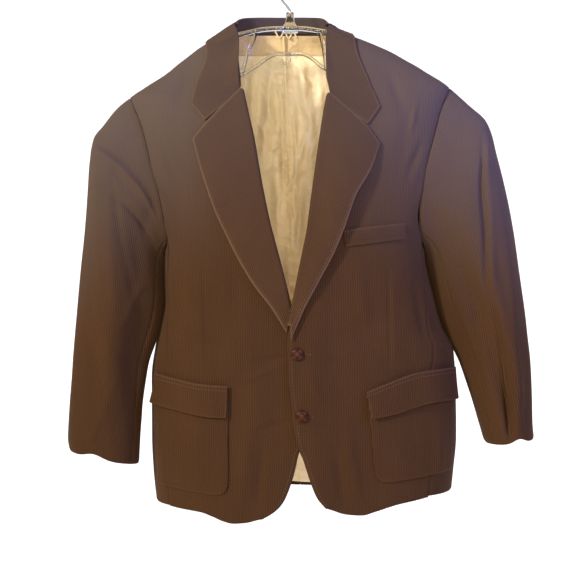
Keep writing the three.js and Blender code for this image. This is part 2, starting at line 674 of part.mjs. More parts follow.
// Collar: the stand rises from the neck seam, rolls over and falls outside it
function collarGrids() {
  const stations = COLLAR.flatMap((row, i) => {
    if (i === COLLAR.length - 1) return [row];
    const next = COLLAR[i + 1];
    return [row, row.map((value, c) => {
      const a = COLLAR[max(i - 1, 0)][c];
      const b = COLLAR[min(i + 2, COLLAR.length - 1)][c];
      return (9 * (value + next[c]) - a - b) / 16;
    })];
  });
  const thickness = ROLL_OUTER - ROLL_INNER;
  const middle = (ROLL_OUTER + ROLL_INNER) / 2;
  const face = [];
  const hidden = [];
  stations.forEach(([nx, ny, nz, rx, ry, rz, ox, oy, oz]) => {
    const neck = vec(nx, ny, nz);
    const roll = vec(rx, ry, rz);
    const edge = vec(ox, oy, oz);
    const bend = neck.clone().lerp(edge, 0.5).sub(roll).normalize();
    const side = edge.clone().sub(neck).normalize();
    const arch = side.clone().addScaledVector(bend, -side.dot(bend)).normalize();
    const faceRow = [];
    const hiddenRow = [];
    const push = (point, normal) => {
      const ridge = RIDGE_GAP * Math.exp(-((point.y / RIDGE_REACH) ** 2));
      const clear = clearBody(point.clone().addScaledVector(normal, -thickness / 2), LAYER + ridge);
      hiddenRow.push(clear);
      faceRow.push(clear.clone().addScaledVector(normal, thickness));
    };
    const centre = roll.clone().addScaledVector(bend, ROLL_OUTER);
    const standEnd = centre.clone().addScaledVector(arch, -middle);
    const fallStart = centre.clone().addScaledVector(arch, middle);
    for (let j = 0; j < 3; j += 1) {
      push(neck.clone().lerp(standEnd, j / 3), arch.clone().negate());
    }
    for (let j = 0; j <= 5; j += 1) {
      const angle = PI * (j / 5);
      const outward = arch.clone().multiplyScalar(-cos(angle)).addScaledVector(bend, -sin(angle));
      push(centre.clone().addScaledVector(outward, middle), outward);
    }
    for (let j = 1; j <= 5; j += 1) {
      const t = j / 5;
      push(fallStart.clone().lerp(edge, t).addScaledVector(arch, FALL_SWELL * sin(PI * t)), arch);
    }
    face.push(faceRow);
    hidden.push(hiddenRow);
  });
  return [face, hidden];
}

// A place along a table of x and z
function pointOn(table, u) {
  const last = table.length - 1;
  const i = min(Math.floor(u * last), last - 1);
  const t = u * last - i;
  return [mix(table[i][0], table[i + 1][0], t), mix(table[i][1], table[i + 1][1], t)];
}

// A piece that lies on the front, filled between its top and bottom edges
function onFrontWall(top, bottom, cols, rows, out) {
  const row = (v, height) => Array.from({ length: cols + 1 }, (_, j) => {
    const [x0, z0] = pointOn(top, j / cols);
    const [x1, z1] = pointOn(bottom, j / cols);
    return onFront(mix(x0, x1, v), mix(z0, z1, v), height);
  });
  const layer = (height) => Array.from({ length: rows + 1 }, (_, i) => row(i / rows, height));
  return between(layer(out + PATCH), layer(out));
}

// Patch pocket: straight sides, the lower corner away from the seam cut round
function pocket({ corners: [topLeft, topRight, lowRight, lowLeft], round }) {
  const [corner, up] = round === 'right' ? [lowRight, topRight] : [lowLeft, topLeft];
  const other = round === 'right' ? lowLeft : lowRight;
  const towards = (from, to, by) => {
    const length = Math.hypot(to[0] - from[0], to[1] - from[1]);
    return [mix(from[0], to[0], by / length), mix(from[1], to[1], by / length)];
  };
  const a = towards(corner, other, POCKET_CORNER);
  const b = towards(corner, up, POCKET_CORNER);
  const arc = Array.from({ length: 5 }, (_, i) => {
    const t = i / 4;
    const w = [(1 - t) ** 2, 2 * t * (1 - t), t ** 2];
    return [0, 1].map((k) => w[0] * a[k] + w[1] * corner[k] + w[2] * b[k]);
  });
  const straight = [0.25, 0.5, 0.75].map((share) => towards(other, a, share * POCKET_STRAIGHT));
  const bottomEdge = [other, ...straight, ...arc];
  const bottom = round === 'right' ? bottomEdge : bottomEdge.reverse();
  const [start, end] = [bottom[0][0], bottom[bottom.length - 1][0]];
  const top = bottom.map(([x]) => {
    const t = (x - start) / (end - start);
    return [mix(topLeft[0], topRight[0], t), mix(topLeft[1], topRight[1], t)];
  });
  return onFrontWall(top, bottom, 12, 8, LAYER);
}

// Round button with a low dome, on the cloth at a point, facing along a direction
function button(centre, direction, radius, height) {
  const profile = [
    [0, 0], [radius * 0.8, 0], [radius, height * 0.35], [radius * 0.94, height * 0.7],
    [radius * 0.6, height * 0.95], [0, height],
  ];
  const geometry = new THREE.LatheGeometry(profile.map(([r, h]) => new THREE.Vector2(r, h)), 20);
  const turn = new THREE.Quaternion().setFromUnitVectors(vec(0, 1, 0), direction.clone().normalize());
  return geometry.applyQuaternion(turn).translate(centre.x, centre.y, centre.z);
}

function frontButton([x, z]) {
  const out = overlapLift(x, z) + BUTTON_GAP;
  const centre = onFront(x, z, out);
  return button(centre, onFront(x, z, out + 1).sub(centre), BUTTON_R, BUTTON_H);
}

function cuffButton(side, k, phi) {
  const normal = sleeveNormal(side, k, phi);
  const centre = sleevePoint(side, k, phi).addScaledVector(normal, CUFF_BUTTON_GAP);
  return button(centre, normal, CUFF_BUTTON_R, CUFF_BUTTON_H);
}

// A bar of round section along a curve through points, with flat ends
function bar(points, radius, steps, sides = 8) {
  const circle = new THREE.Shape().absarc(0, 0, radius, 0, 2 * PI, false);
  const path = new THREE.CatmullRomCurve3(points.map((p) => vec(...p)));
  return new THREE.ExtrudeGeometry(circle, {
    steps,
    curveSegments: sides / 2,
    bevelEnabled: false,
    extrudePath: path,
  });
}

function toManifold(geometry) {
  const plain = geometry.clone();
  plain.deleteAttribute('normal');
  plain.deleteAttribute('uv');
  const merged = mergeVertices(plain, 1e-4);
  return new wasm.Manifold(new wasm.Mesh({
    numProp: 3,
    vertProperties: new Float32Array(merged.attributes.position.array),
    triVerts: new Uint32Array(merged.index.array),
  }));
}

function joined(geometries) {
  const solid = geometries.map(toManifold).reduce((a, b) => a.add(b));
  const mesh = solid.getMesh();
  const geometry = new THREE.BufferGeometry();
  geometry.setAttribute('position', new THREE.Float32BufferAttribute(mesh.vertProperties, 3));
  geometry.setIndex([...mesh.triVerts]);
  geometry.computeVertexNormals();
  return geometry;
}

// Height of the shoulder seam at a distance across
function shoulderAt(x) {
  const side = x < 0 ? leftSide : rightSide;
  const top = SHOULDER_Z[x < 0 ? 'left' : 'right'];
  let [low, high] = [top, NECK_Z];
  for (let i = 0; i < 30; i += 1) {
    const z = (low + high) / 2;
    if (abs(side(z)[0]) > abs(x)) low = z;
    else high = z;
  }
  return (low + high) / 2;
}

// Middle line of the hanger's bar, which lies just under both shoulder seams
function hangerArms() {
  const under = (x) => {
    const slope = (shoulderAt(x + 2) - shoulderAt(x - 2)) / 4;
    return [x, 0, shoulderAt(x) - ARM_REST * Math.hypot(1, slope)];
  };
  const middle = ARM_MIDDLE.map(([x, z]) => [x, 0, z]);
  return [...ARM_STATIONS.map(under), ...middle, ...ARM_STATIONS_RIGHT.map(under)];
}

// Clear hanger: neck, shoulder bars, front rails with a small centre hook
function hangerFrame() {
  const neck = new THREE.LatheGeometry([
    [0, HANGER_BASE_Z], [13, HANGER_BASE_Z], [13, -86], [7, -76], [6, NECK_TOP_Z], [0, NECK_TOP_Z],
  ].map(([r, z]) => new THREE.Vector2(r, z)), 16).rotateX(PI / 2);
  return joined([
    neck,
    bar(hangerArms(), BAR_R, 30),
    bar(HANGER_RAIL, RAIL_R, 28),
    ...HANGER_STRUTS.map((points) => bar(points, RAIL_R, 5)),
    bar(HANGER_J, J_R, 8),
  ]);
}

// Wire hook: straight out of the neck, then most of a circle, open at the viewer's right
function hook() {
  const radius = HOOK_R + HOOK_WIRE;
  const arc = Array.from({ length: 13 }, (_, i) => {
    const angle = mix(232, -8, i / 12) * DEG;
    return [radius * cos(angle), 0, radius * sin(angle) - HOOK_R];
  });
  return bar([[0, 0, NECK_TOP_Z + 0.4], [-1, 0, NECK_TOP_Z + 5], ...arc], HOOK_WIRE, 32);
}

// Zigzag tape of the hang loop, on the neck band
function hangLoop() {
  const y = bodyPoint(backAngle(-6, -95), -95).y - SHELL - INNER_GAP - LINING - 5;
  return bar(HANG_LOOP.map(([x, z]) => [x, y, z]), HANG_LOOP_R, 20, 6);
}

function material(color, roughness, metalness = 0) {
  return new THREE.MeshStandardMaterial({ color, roughness, metalness, side: THREE.FrontSide });
}

const group = new THREE.Group();

function add(name, geometry, [color, roughness, metalness]) {
  const mesh = new THREE.Mesh(geometry, material(color, roughness, metalness));
  mesh.name = name;
  group.add(mesh);
}

[['right', 'left'], ['left', 'right']].forEach(([wearer, viewer]) => {
  const hind = HINDARM_SEAM[viewer];
  const fore = FOREARM_SEAM[viewer];
  const topSleeve = (depth) => sleeveGrid(viewer, hind, fore, 12, depth);
  const underSleeve = (depth) => sleeveGrid(viewer, fore, hind + 360, 8, depth);
  const lining = (depth) => insideBack(viewer, NECK_BAND_Z, liningHem, 12, depth);
  const neckBand = (depth) => insideBack(viewer, LINING_TOP_Z, bandHem, 2, depth);
  const liningInside = LINING_DEPTH - LINING;
  const [face, hidden] = facingGrids(viewer);
  add(`front_${wearer}`, cloth((d) => frontGrid(viewer, d), 0, -SHELL), CORDUROY);
  add(`side_${wearer}`, cloth((d) => sideGrid(viewer, d), 0, -SHELL), CORDUROY);
  add(`back_${wearer}`, cloth((d) => backGrid(viewer, d), 0, -SHELL), CORDUROY);
  add(`sleeve_top_${wearer}`, cloth(topSleeve, 0, -SHELL), CORDUROY);
  add(`sleeve_under_${wearer}`, cloth(underSleeve, 0, -SHELL), CORDUROY);
  add(`facing_${wearer}`, between(face, hidden), CORDUROY);
  add(`lining_back_${wearer}`, cloth(lining, LINING_DEPTH, liningInside), SATIN);
  add(`lining_neck_${wearer}`, cloth(neckBand, LINING_DEPTH, liningInside), SATIN);
});

POCKETS.forEach((row) => add(row.name, pocket(row), CORDUROY));
FLAPS.forEach(({ name, top, bottom }) => {
  add(name, onFrontWall(top, bottom, 12, 3, LAYER + PATCH + LAYER), CORDUROY);
});
add('breast_welt', onFrontWall(WELT.top, WELT.bottom, 8, 2, LAYER), CORDUROY);
Object.entries(BUTTONS).forEach(([name, place]) => add(name, frontButton(place), LEATHER));
add('cuff_button_left', cuffButton('right', 13, (HINDARM_SEAM.right + 9) * DEG), LEATHER);
add('cuff_button_right', cuffButton('left', 12, (HINDARM_SEAM.left + 9) * DEG), LEATHER);
add('hang_loop', hangLoop(), SATIN);
add('hanger_frame', hangerFrame(), CLEAR);
add('hanger_hook', hook(), STEEL);

const [collarFace, collarHidden] = collarGrids();
add('collar', between(collarFace, collarHidden), CORDUROY);

export default group;
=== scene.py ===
"""A two-button corduroy jacket on a clear hanger, dressed piece by piece.

Sizes are in millimetres, with X to the viewer's right, Y to the back and Z up from the inner top of
the hook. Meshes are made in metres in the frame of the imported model.
"""
import logging
from dataclasses import dataclass
from enum import Enum
from typing import Callable, Sequence

import bpy
import numpy as np
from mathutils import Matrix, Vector

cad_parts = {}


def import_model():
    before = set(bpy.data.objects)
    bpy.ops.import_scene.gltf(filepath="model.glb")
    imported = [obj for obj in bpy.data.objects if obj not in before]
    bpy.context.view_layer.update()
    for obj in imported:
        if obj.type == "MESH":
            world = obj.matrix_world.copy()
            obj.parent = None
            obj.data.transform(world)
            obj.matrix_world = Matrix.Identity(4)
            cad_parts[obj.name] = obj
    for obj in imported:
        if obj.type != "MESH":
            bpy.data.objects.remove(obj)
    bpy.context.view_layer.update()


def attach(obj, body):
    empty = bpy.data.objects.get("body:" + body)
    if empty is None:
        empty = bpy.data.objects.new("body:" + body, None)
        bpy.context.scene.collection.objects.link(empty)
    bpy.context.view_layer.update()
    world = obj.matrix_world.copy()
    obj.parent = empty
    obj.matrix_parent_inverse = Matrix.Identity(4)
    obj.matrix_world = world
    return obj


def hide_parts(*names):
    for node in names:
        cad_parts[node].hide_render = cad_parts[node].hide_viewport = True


LOG = logging.getLogger("jacket")
MM = 0.001
DEG = np.pi / 180

# Cloth thicknesses and clearances, as the solids have them
SHELL = 2.0
LAPEL = 3.0
FACING = 1.6
LINING = 1.2
PATCH = 1.8
LAYER = 1.2
INNER_GAP = 1.8
OVERLAP = 6.2

# Side of the body at each height
LEFT_SIDE = [
    [-80, -86], [-84, -92], [-126, -155], [-160, -198], [-188, -241], [-197, -254], [-243, -245],
    [-299, -238], [-346, -228], [-385, -218], [-440, -200], [-520, -200], [-560, -208], [-592, -215],
    [-640, -221], [-736, -221], [-784, -219], [-870, -210],
]
RIGHT_SIDE = [
    [-80, 58], [-88, 72], [-101, 104], [-118, 147], [-160, 222], [-172, 241], [-181, 253],
    [-218, 246], [-267, 240], [-315, 232], [-362, 224], [-409, 218], [-440, 215], [-520, 231],
    [-560, 243], [-592, 260], [-640, 264], [-736, 266], [-784, 262], [-870, 253],
]
# Depth of the front and of the back at each height
DEPTHS = [
    [-80, 10, 64], [-101, 16, 70], [-126, 27, 76], [-165, 43, 82], [-187, 53, 84], [-239, 77, 87],
    [-332, 96, 84], [-416, 106, 80], [-500, 112, 80], [-640, 112, 84], [-740, 109, 88], [-870, 104, 90],
]
# Front edges: height, distance across
LEFT_EDGE = [
    [-80, -82], [-101, -84], [-126, -82], [-165, -79], [-187, -83], [-239, -65], [-332, -49],
    [-416, -30], [-500, -7.5], [-533, 3], [-560, 16], [-590, 27], [-620, 30], [-690, 30],
    [-720, 26], [-748, 13.6], [-768, 9], [-786, 4.5], [-808, -3], [-824, -10.6], [-838, -23],
    [-850, -42],
]
RIGHT_EDGE = [
    [-80, 52], [-101, 60], [-126, 58], [-165, 56], [-193, 62], [-255, 51], [-317, 43],
    [-409, 30], [-515, 10.6], [-545, 0], [-556, -1.5], [-582, -4], [-643, -1.5], [-680, 3],
    [-710, 6], [-734, 10.6], [-756, 19.6], [-779, 27], [-802, 35], [-817, 42], [-832, 54],
]
# Angle of the side panel's seams from the side of the body, in degrees, at each height
LEFT_SEAM = [[-440, 19], [-520, 18.5], [-560, 24.6], [-592, 28.3], [-640, 31.5], [-736, 32], [-870, 28.5]]
RIGHT_SEAM = [[-440, 18], [-520, 27], [-592, 36], [-640, 40], [-740, 40], [-870, 37.5]]
BACK_SEAM = [[-440, 27], [-640, 31], [-870, 30]]
# Hems: distance across, height
LEFT_HEM = [
    [-215, -838], [-202, -837], [-160, -839], [-122, -842], [-103, -848], [-89, -854],
    [-75, -857.5], [-60, -856], [-42, -850],
]
RIGHT_HEM = [[54, -832], [76, -842], [97, -844], [115, -839], [153, -829], [191, -824], [232, -819], [260, -814]]
BACK_HEM = [[-222, -840], [-120, -832], [-40, -829], [40, -834], [120, -828], [264, -814]]

# Broad folds of the body, which the solids have too: from x, z to x, z, half width, height
BODY_FOLDS = [
    [-190, -230, -160, -330, 16, -4], [188, -230, 165, -330, 16, -4],
    [-60, -560, -170, -520, 22, -3], [70, -570, 190, -520, 22, -3],
    [-20, -620, -90, -760, 26, 3], [60, -640, 100, -800, 24, 3],
]
# Creases of the fronts: from x, z to x, z, half width, height
FRONT_CREASES = [
    # darts, sewn as narrow troughs with a soft swell beside them
    [-134, -436, -129, -641, 2.6, -1.7], [-140, -450, -135, -630, 7, 1.0],
    [151, -458, 153, -630, 2.6, -1.7], [159, -470, 160, -625, 7, 1.0],
    # drag from the shoulders into the chest
    [-206, -262, -170, -345, 7, -3.74], [-218, -300, -188, -362, 5, 2.72], [-196, -330, -182, -425, 6, -3.06],
    [209, -262, 178, -335, 7, -3.74], [220, -300, 196, -372, 5, 2.72], [206, -352, 196, -430, 6, -2.72],
    [-150, -130, -182, -250, 11, -2.72], [150, -150, 182, -236, 9, -2.72],
    [196, -208, 186, -262, 4, 2.72],
    # pull round the buttons
    [2, -598, -62, -610, 4.5, -2.38], [0, -606, -78, -640, 5, 2.21], [34, -604, 98, -612, 5, -1.87],
    [8, -694, -58, -716, 5, -2.04], [32, -700, 92, -722, 5.5, -1.87], [24, -616, 52, -676, 6, 1.7],
    # slack over the skirt
    [-188, -470, -150, -590, 9, 2.55], [-170, -560, -92, -600, 8, -2.38], [190, -480, 214, -600, 8, -2.72],
    [96, -560, 150, -600, 8, -2.04], [-60, -700, -76, -846, 11, 3.06], [-40, -730, -52, -846, 7, -2.21],
    [84, -700, 108, -836, 10, 2.89], [66, -720, 84, -838, 7, -2.04], [-192, -700, -196, -832, 8, 2.38],
    [228, -690, 232, -812, 9, 2.55], [-112, -650, -100, -700, 7, -1.53], [104, -470, 116, -560, 10, 1.87],
    [-96, -470, -104, -560, 11, 1.7],
]
BACK_CREASES = [
    [-120, -170, -70, -280, 16, 3.08], [120, -170, 78, -290, 16, 3.08], [-196, -290, -120, -350, 11, -3.64],
    [206, -280, 130, -350, 11, -3.64], [-188, -380, -110, -420, 9, 2.66], [194, -370, 120, -420, 9, 2.66],
    [-90, -440, -130, -620, 18, -2.8], [92, -440, 140, -620, 18, -2.8], [-60, -600, -84, -826, 16, 3.36],
    [64, -610, 92, -826, 15, 3.36], [-150, -640, -168, -830, 14, -2.66], [168, -640, 186, -814, 14, -2.66],
    [-40, -140, 46, -132, 8, -1.96], [-44, -480, 40, -470, 9, -1.68],
]

# Sleeve sections: outer x, outer z, inner x, inner z, half depth, forward shift
LEFT_SLEEVE = [
    [-254, -197, -200, -440, 55, 0], [-275, -214, -203, -446, 57, 0], [-296, -240, -203, -452, 59, 1],
    [-312, -262, -203, -458, 60, 2], [-318, -300, -203.5, -465, 61, 4], [-322, -353, -203.5, -478, 62, 7],
    [-326, -410, -203.5, -495, 62, 11], [-332, -470, -203.5, -515, 60, 15], [-337, -530, -208, -545, 58, 19],
    [-341, -580, -217, -578, 55, 23], [-344, -630, -228, -620, 51, 28], [-348, -685, -232, -675, 47, 33],
    [-350, -731, -236, -730, 43, 38], [-347, -752, -238, -774, 41, 41],
]
RIGHT_SLEEVE = [
    [253, -181, 215, -440, 55, 0], [285, -209, 219, -448, 57, 0], [311, -233, 222, -458, 59, 1],
    [321, -256, 225, -470, 60, 2], [327, -281, 228, -488, 61, 3], [339, -329, 234, -517, 62, 6],
    [349, -376, 245, -549, 62, 9], [357, -424, 260, -583, 61, 12], [363, -471, 275, -614, 60, 15],
    [369, -519, 286, -655, 58, 19], [374, -567, 291, -680, 56, 23], [379, -614, 296, -700, 54, 27],
    [381, -662, 301, -718, 52, 31], [382, -709, 305, -733, 50, 35], [384, -733, 308, -741, 49, 37],
]
ARMHOLE_FADE = [1, 0.72, 0.42, 0.2, 0.07, 0]
# Broad sleeve folds of the solids: start section, angle, end section, angle, half width, height
LEFT_SLEEVE_FOLDS = [
    [3, 40, 10, 100, 16, 5], [4, 112, 11, 140, 18, -6], [1, 75, 5, 60, 14, -4], [7, 230, 11, 200, 20, -5],
]
RIGHT_SLEEVE_FOLDS = [
    [5, 118, 13, 92, 13, -9], [5, 86, 13, 68, 12, 4], [1, 75, 5, 60, 14, -4], [6, 215, 11, 235, 20, -5],
]
# Creases of the sleeves, placed in the same way
LEFT_SLEEVE_CREASES = [
    [3.4, 28, 0.9, 112, 9, 5.2], [4.8, 36, 2.4, 124, 12, -4.4], [0.8, 172, 10.4, 166, 17, 6.6],
    [7.6, 172, 10.8, 168, 16, 2.4],
    [0.3, 95, 3.2, 84, 9.5, -1.92], [0.3, 112, 3.5, 120, 8.1, -2.08], [0.2, 60, 2.6, 54, 9.5, -1.28],
    [2.6, 58, 8.6, 96, 9.5, 2.08], [3.4, 74, 7.4, 118, 8.1, -1.92], [5.6, 60, 8, 88, 6.8, -1.28],
    [7.2, 58, 9.8, 100, 8.1, 1.52], [8.4, 46, 10.4, 90, 8.1, -1.52], [9.4, 66, 12.6, 96, 10.8, -1.2],
    [9.2, 20, 12.8, 44, 12.2, 1.28], [4.5, 20, 8.5, 34, 13.5, -1.44], [1, 30, 5, 22, 13.5, 1.2],
    [10.2, 110, 12.4, 70, 6.8, 1.2], [6.4, 130, 8.4, 104, 6.8, 1.76], [5, 200, 9, 236, 12.2, 1.76],
    [3, 260, 8, 290, 13.5, -1.92], [8, 280, 12, 262, 12.2, 1.6],
]
RIGHT_SLEEVE_CREASES = [
    [2.6, 46, 6.9, 95, 5, -5.2], [2.6, 34, 6.9, 83, 8, 2.6], [7.2, 92, 13.4, 99, 5, -5.6],
    [7.9, 62, 13.2, 84, 9, 3.2], [0.9, 172, 9.4, 168, 17, 8.2], [0.3, 95, 3, 86, 9.5, -1.92],
    [0.3, 114, 3.6, 124, 8.1, -2.08], [0.2, 62, 2.8, 52, 9.5, -1.28], [3, 100, 8.4, 92, 8.1, 1.92],
    [4.6, 74, 9.6, 66, 9.5, -1.6], [6, 52, 11, 60, 12.2, 1.44], [8, 110, 12.6, 76, 8.1, 1.6],
    [9.6, 98, 12.8, 58, 6.8, -1.52], [10.6, 60, 13.4, 84, 9.5, 1.2], [3, 30, 8, 24, 14.9, -1.28],
    [9, 20, 13, 34, 12.2, 1.2], [6.8, 120, 9, 138, 8.1, -1.76], [4, 210, 9, 240, 12.2, 1.76],
    [3, 265, 8, 288, 13.5, -1.92], [8, 284, 13, 268, 12.2, 1.6],
]
FOREARM_SEAM = {"left": 150, "right": 140}

# Lapels: place down the roll line, its x and z, x and z of the outer edge, how far it stands off
LEFT_LAPEL = [
    [0, -77, -190, -149, -268, 0], [1, -69, -226, -138, -308, 1], [2, -60, -266, -126, -345, 2],
    [3, -52, -312, -114, -378, 2], [4, -43, -360, -96, -416, 1.5], [5, -33, -405, -78, -452, 1],
    [6, -21, -450, -54, -491, 1], [7, -10, -493, -28, -525, 0.5], [8, -1, -531, -4.5, -563, 0],
]
RIGHT_LAPEL = [
    [0, 62, -197, 137, -276, 0.5], [1, 55, -235, 122, -316, 6], [2, 50, -268, 108, -339, 9],
    [3, 43, -317, 98, -356, 10], [4, 37, -360, 82, -402, 9], [5, 31, -405, 65, -444, 7],
    [6, 21, -455, 43, -485, 4], [7, 10, -510, 22, -524, 2.5], [8, 1, -552, 1, -573, 1],
]

# Collar: neck seam x, y, z, roll x, y, z, outer edge x, y, z, from the viewer's left round the back
COLLAR = [
    [-76, -46, -186, -77, -54, -190, -130, -62, -241], [-76.2, -45, -184, -77.2, -53.5, -188, -134, -59, -237],
    [-77, -40, -170, -78.5, -50, -174, -150, -47, -219.5], [-78, -37, -163, -79, -48, -166, -150, -42, -212],
    [-80, -28, -142, -80, -41, -146, -142, -26, -182], [-83, -10, -108, -80, -22, -110, -126, -10, -144],
    [-90, 14, -85.6, -83, 12, -77, -108, 14, -100], [-86, 36, -85.6, -79, 38, -65, -108, 52, -108],
    [-58, 59.7, -85.6, -56, 57, -59.5, -68, 74, -108], [-13, 66, -85.6, -13, 63, -58.5, -13, 79, -106],
    [30, 60.4, -85.6, 30, 57, -59.5, 42, 75, -106], [61, 36, -85.6, 53, 38, -65, 84, 54, -104],
    [67.5, 14, -85.6, 57, 12, -79, 82, 14, -94], [62, -10, -108, 56, -22, -113, 101, -10, -134],
    [60, -28, -144, 56, -41, -148, 120, -27, -179], [60.5, -38, -168, 58, -48, -174, 135, -45, -216],
    [61, -40, -174, 59, -50, -182, 136, -49, -224], [61.6, -45, -188, 61, -54.5, -194, 122, -62, -243],
    [62, -46, -192, 62, -55, -197, 118, -64, -247.5],
]

ARM_STATIONS_LEFT = [-218, -196, -172, -148, -124, -104]
ARM_MIDDLE = [[-78, -96], [-45, -89], [-15, -87], [15, -87], [42, -90]]
ARM_STATIONS_RIGHT = [76, 100, 124, 148, 172, 196, 218]
HANGER_RAIL = [
    [-205, 0, -184], [-150, -4, -180], [-110, -8, -173], [-78, -10, -162], [-51, -10, -146],
    [-32, -10, -133], [-16, -8, -128], [0, -8, -128], [19, -8, -128], [35, -10, -136], [56, -10, -152],
    [90, -8, -163], [140, -4, -170], [205, 0, -170],
]
HANGER_STRUTS = [
    [[-53, 0, -90], [-58, -8, -107], [-67, -12, -128], [-76, -11, -160]],
    [[45, 0, -91], [50, -8, -105], [54, -12, -126], [57, -11, -153]],
]
HANGER_J = [[0, -8, -127], [0, -8, -136], [-3, -8, -142], [-9, -8, -143], [-13, -8, -138]]
HANG_LOOP = [[-24, -82], [-17, -92], [-9, -83], [-2, -93], [5, -83], [11, -92]]


class Side(Enum):
    """A side of the jacket as the viewer sees it, while piece names use the wearer's side."""
    LEFT = "left"
    RIGHT = "right"

    @property
    def wearer(self) -> str:
        """Name of the wearer's side."""
        return "right" if self is Side.LEFT else "left"

    @property
    def out(self) -> float:
        """Direction along X away from the middle."""
        return -1.0 if self is Side.LEFT else 1.0


class Held(Enum):
    """How a sheet of cloth is held."""
    HUNG = "hung"
    FOLDED = "folded"
    LAID = "laid"


def ease(t: np.ndarray | float) -> np.ndarray:
    """Smooth step from 0 to 1 while t goes from 0 to 1."""
    s = np.clip(t, 0, 1)
    return s * s * (3 - 2 * s)


def mix(a: np.ndarray | float, b: np.ndarray | float, t: np.ndarray | float) -> np.ndarray:
    """Value between a and b at share t."""
    return a + (b - a) * t


def unit(vectors: np.ndarray) -> np.ndarray:
    """Vectors of length 1 in the same directions."""
    return vectors / np.maximum(np.linalg.norm(vectors, axis=-1, keepdims=True), 1e-9)


class Track:
    """A smooth curve through a table whose first column only rises or only falls."""

    def __init__(self, table: Sequence[Sequence[float]]) -> None:
        """Reads the table and works out its tangents."""
        rows = np.array(sorted(table, key=lambda row: row[0]), float)
        self.at, self.values = rows[:, 0], rows[:, 1:]
        slopes = np.diff(self.values, axis=0) / np.diff(self.at)[:, None]
        self.tangents = np.empty_like(self.values)
        self.tangents[0], self.tangents[-1] = slopes[0], slopes[-1]
        before, after = slopes[:-1], slopes[1:]
        total = np.where(before + after == 0, 1, before + after)
        self.tangents[1:-1] = np.where(before * after <= 0, 0, 2 * before * after / total)

    def __call__(self, where: np.ndarray | float) -> np.ndarray:
        """Values of the other columns, along the last axis."""
        s = np.clip(np.asarray(where, float), self.at[0], self.at[-1])
        i = np.clip(np.searchsorted(self.at, s, side="right") - 1, 0, len(self.at) - 2)
        h = (self.at[i + 1] - self.at[i])[..., None]
        t = (s - self.at[i])[..., None] / h
        t2, t3 = t * t, t * t * t
        return (self.values[i] * (2 * t3 - 3 * t2 + 1) + h * self.tangents[i] * (t3 - 2 * t2 + t)
                + self.values[i + 1] * (3 * t2 - 2 * t3) + h * self.tangents[i + 1] * (t3 - t2))


def through(points: Sequence[Sequence[float]], count: int) -> np.ndarray:
    """A smooth line through points, with its ends kept.

    Args:
        points: The rows that the line passes, of any length.
        count: How many steps lie between two rows.

    Returns:
        The rows of the line.
    """
    rows = np.array(points, float)
    last = len(rows) - 1
    s = np.linspace(0, last, last * count + 1)
    i = np.minimum(s.astype(int), last - 1)
    t = (s - i)[:, None]
    p0, p1 = rows[np.maximum(i - 1, 0)], rows[i]
    p2, p3 = rows[i + 1], rows[np.minimum(i + 2, last)]
    return 0.5 * (2 * p1 + (p2 - p0) * t + (2 * p0 - 5 * p1 + 4 * p2 - p3) * t ** 2
                  + (3 * p1 - p0 - 3 * p2 + p3) * t ** 3)


def creases(x: np.ndarray, z: np.ndarray, table: Sequence[Sequence[float]], ends: float) -> np.ndarray:
    """Height of the folds in a table at places on a flat sheet.

    Args:
        x: Distance across.
        z: Height.
        table: Rows of x, z, x, z, half width and height.
        ends: How much of a fold is left at its ends.

    Returns:
        The summed heights.
    """
    total = np.zeros(np.broadcast(x, z).shape)
    for x0, z0, x1, z1, half, height in table:
        dx, dz = x1 - x0, z1 - z0
        t = np.clip(((x - x0) * dx + (z - z0) * dz) / (dx * dx + dz * dz), 0, 1)
        away = np.hypot(x - x0 - t * dx, z - z0 - t * dz)
        total = total + height * (ends + (1 - ends) * np.sin(np.pi * t)) * np.exp(-((away / half) ** 2))
    return total


def spaced(count: int, trim: float) -> np.ndarray:
    """Shares from edge to edge of a piece, closer together beside its two edges."""
    near = trim * np.array([1.0, 1.7, 2.8, 4.4, 6.6, 10.0])
    middle = np.linspace(near[-1], 1 - near[-1], count)
    return np.concatenate([near[:-1], middle, 1 - near[:-1][::-1]])


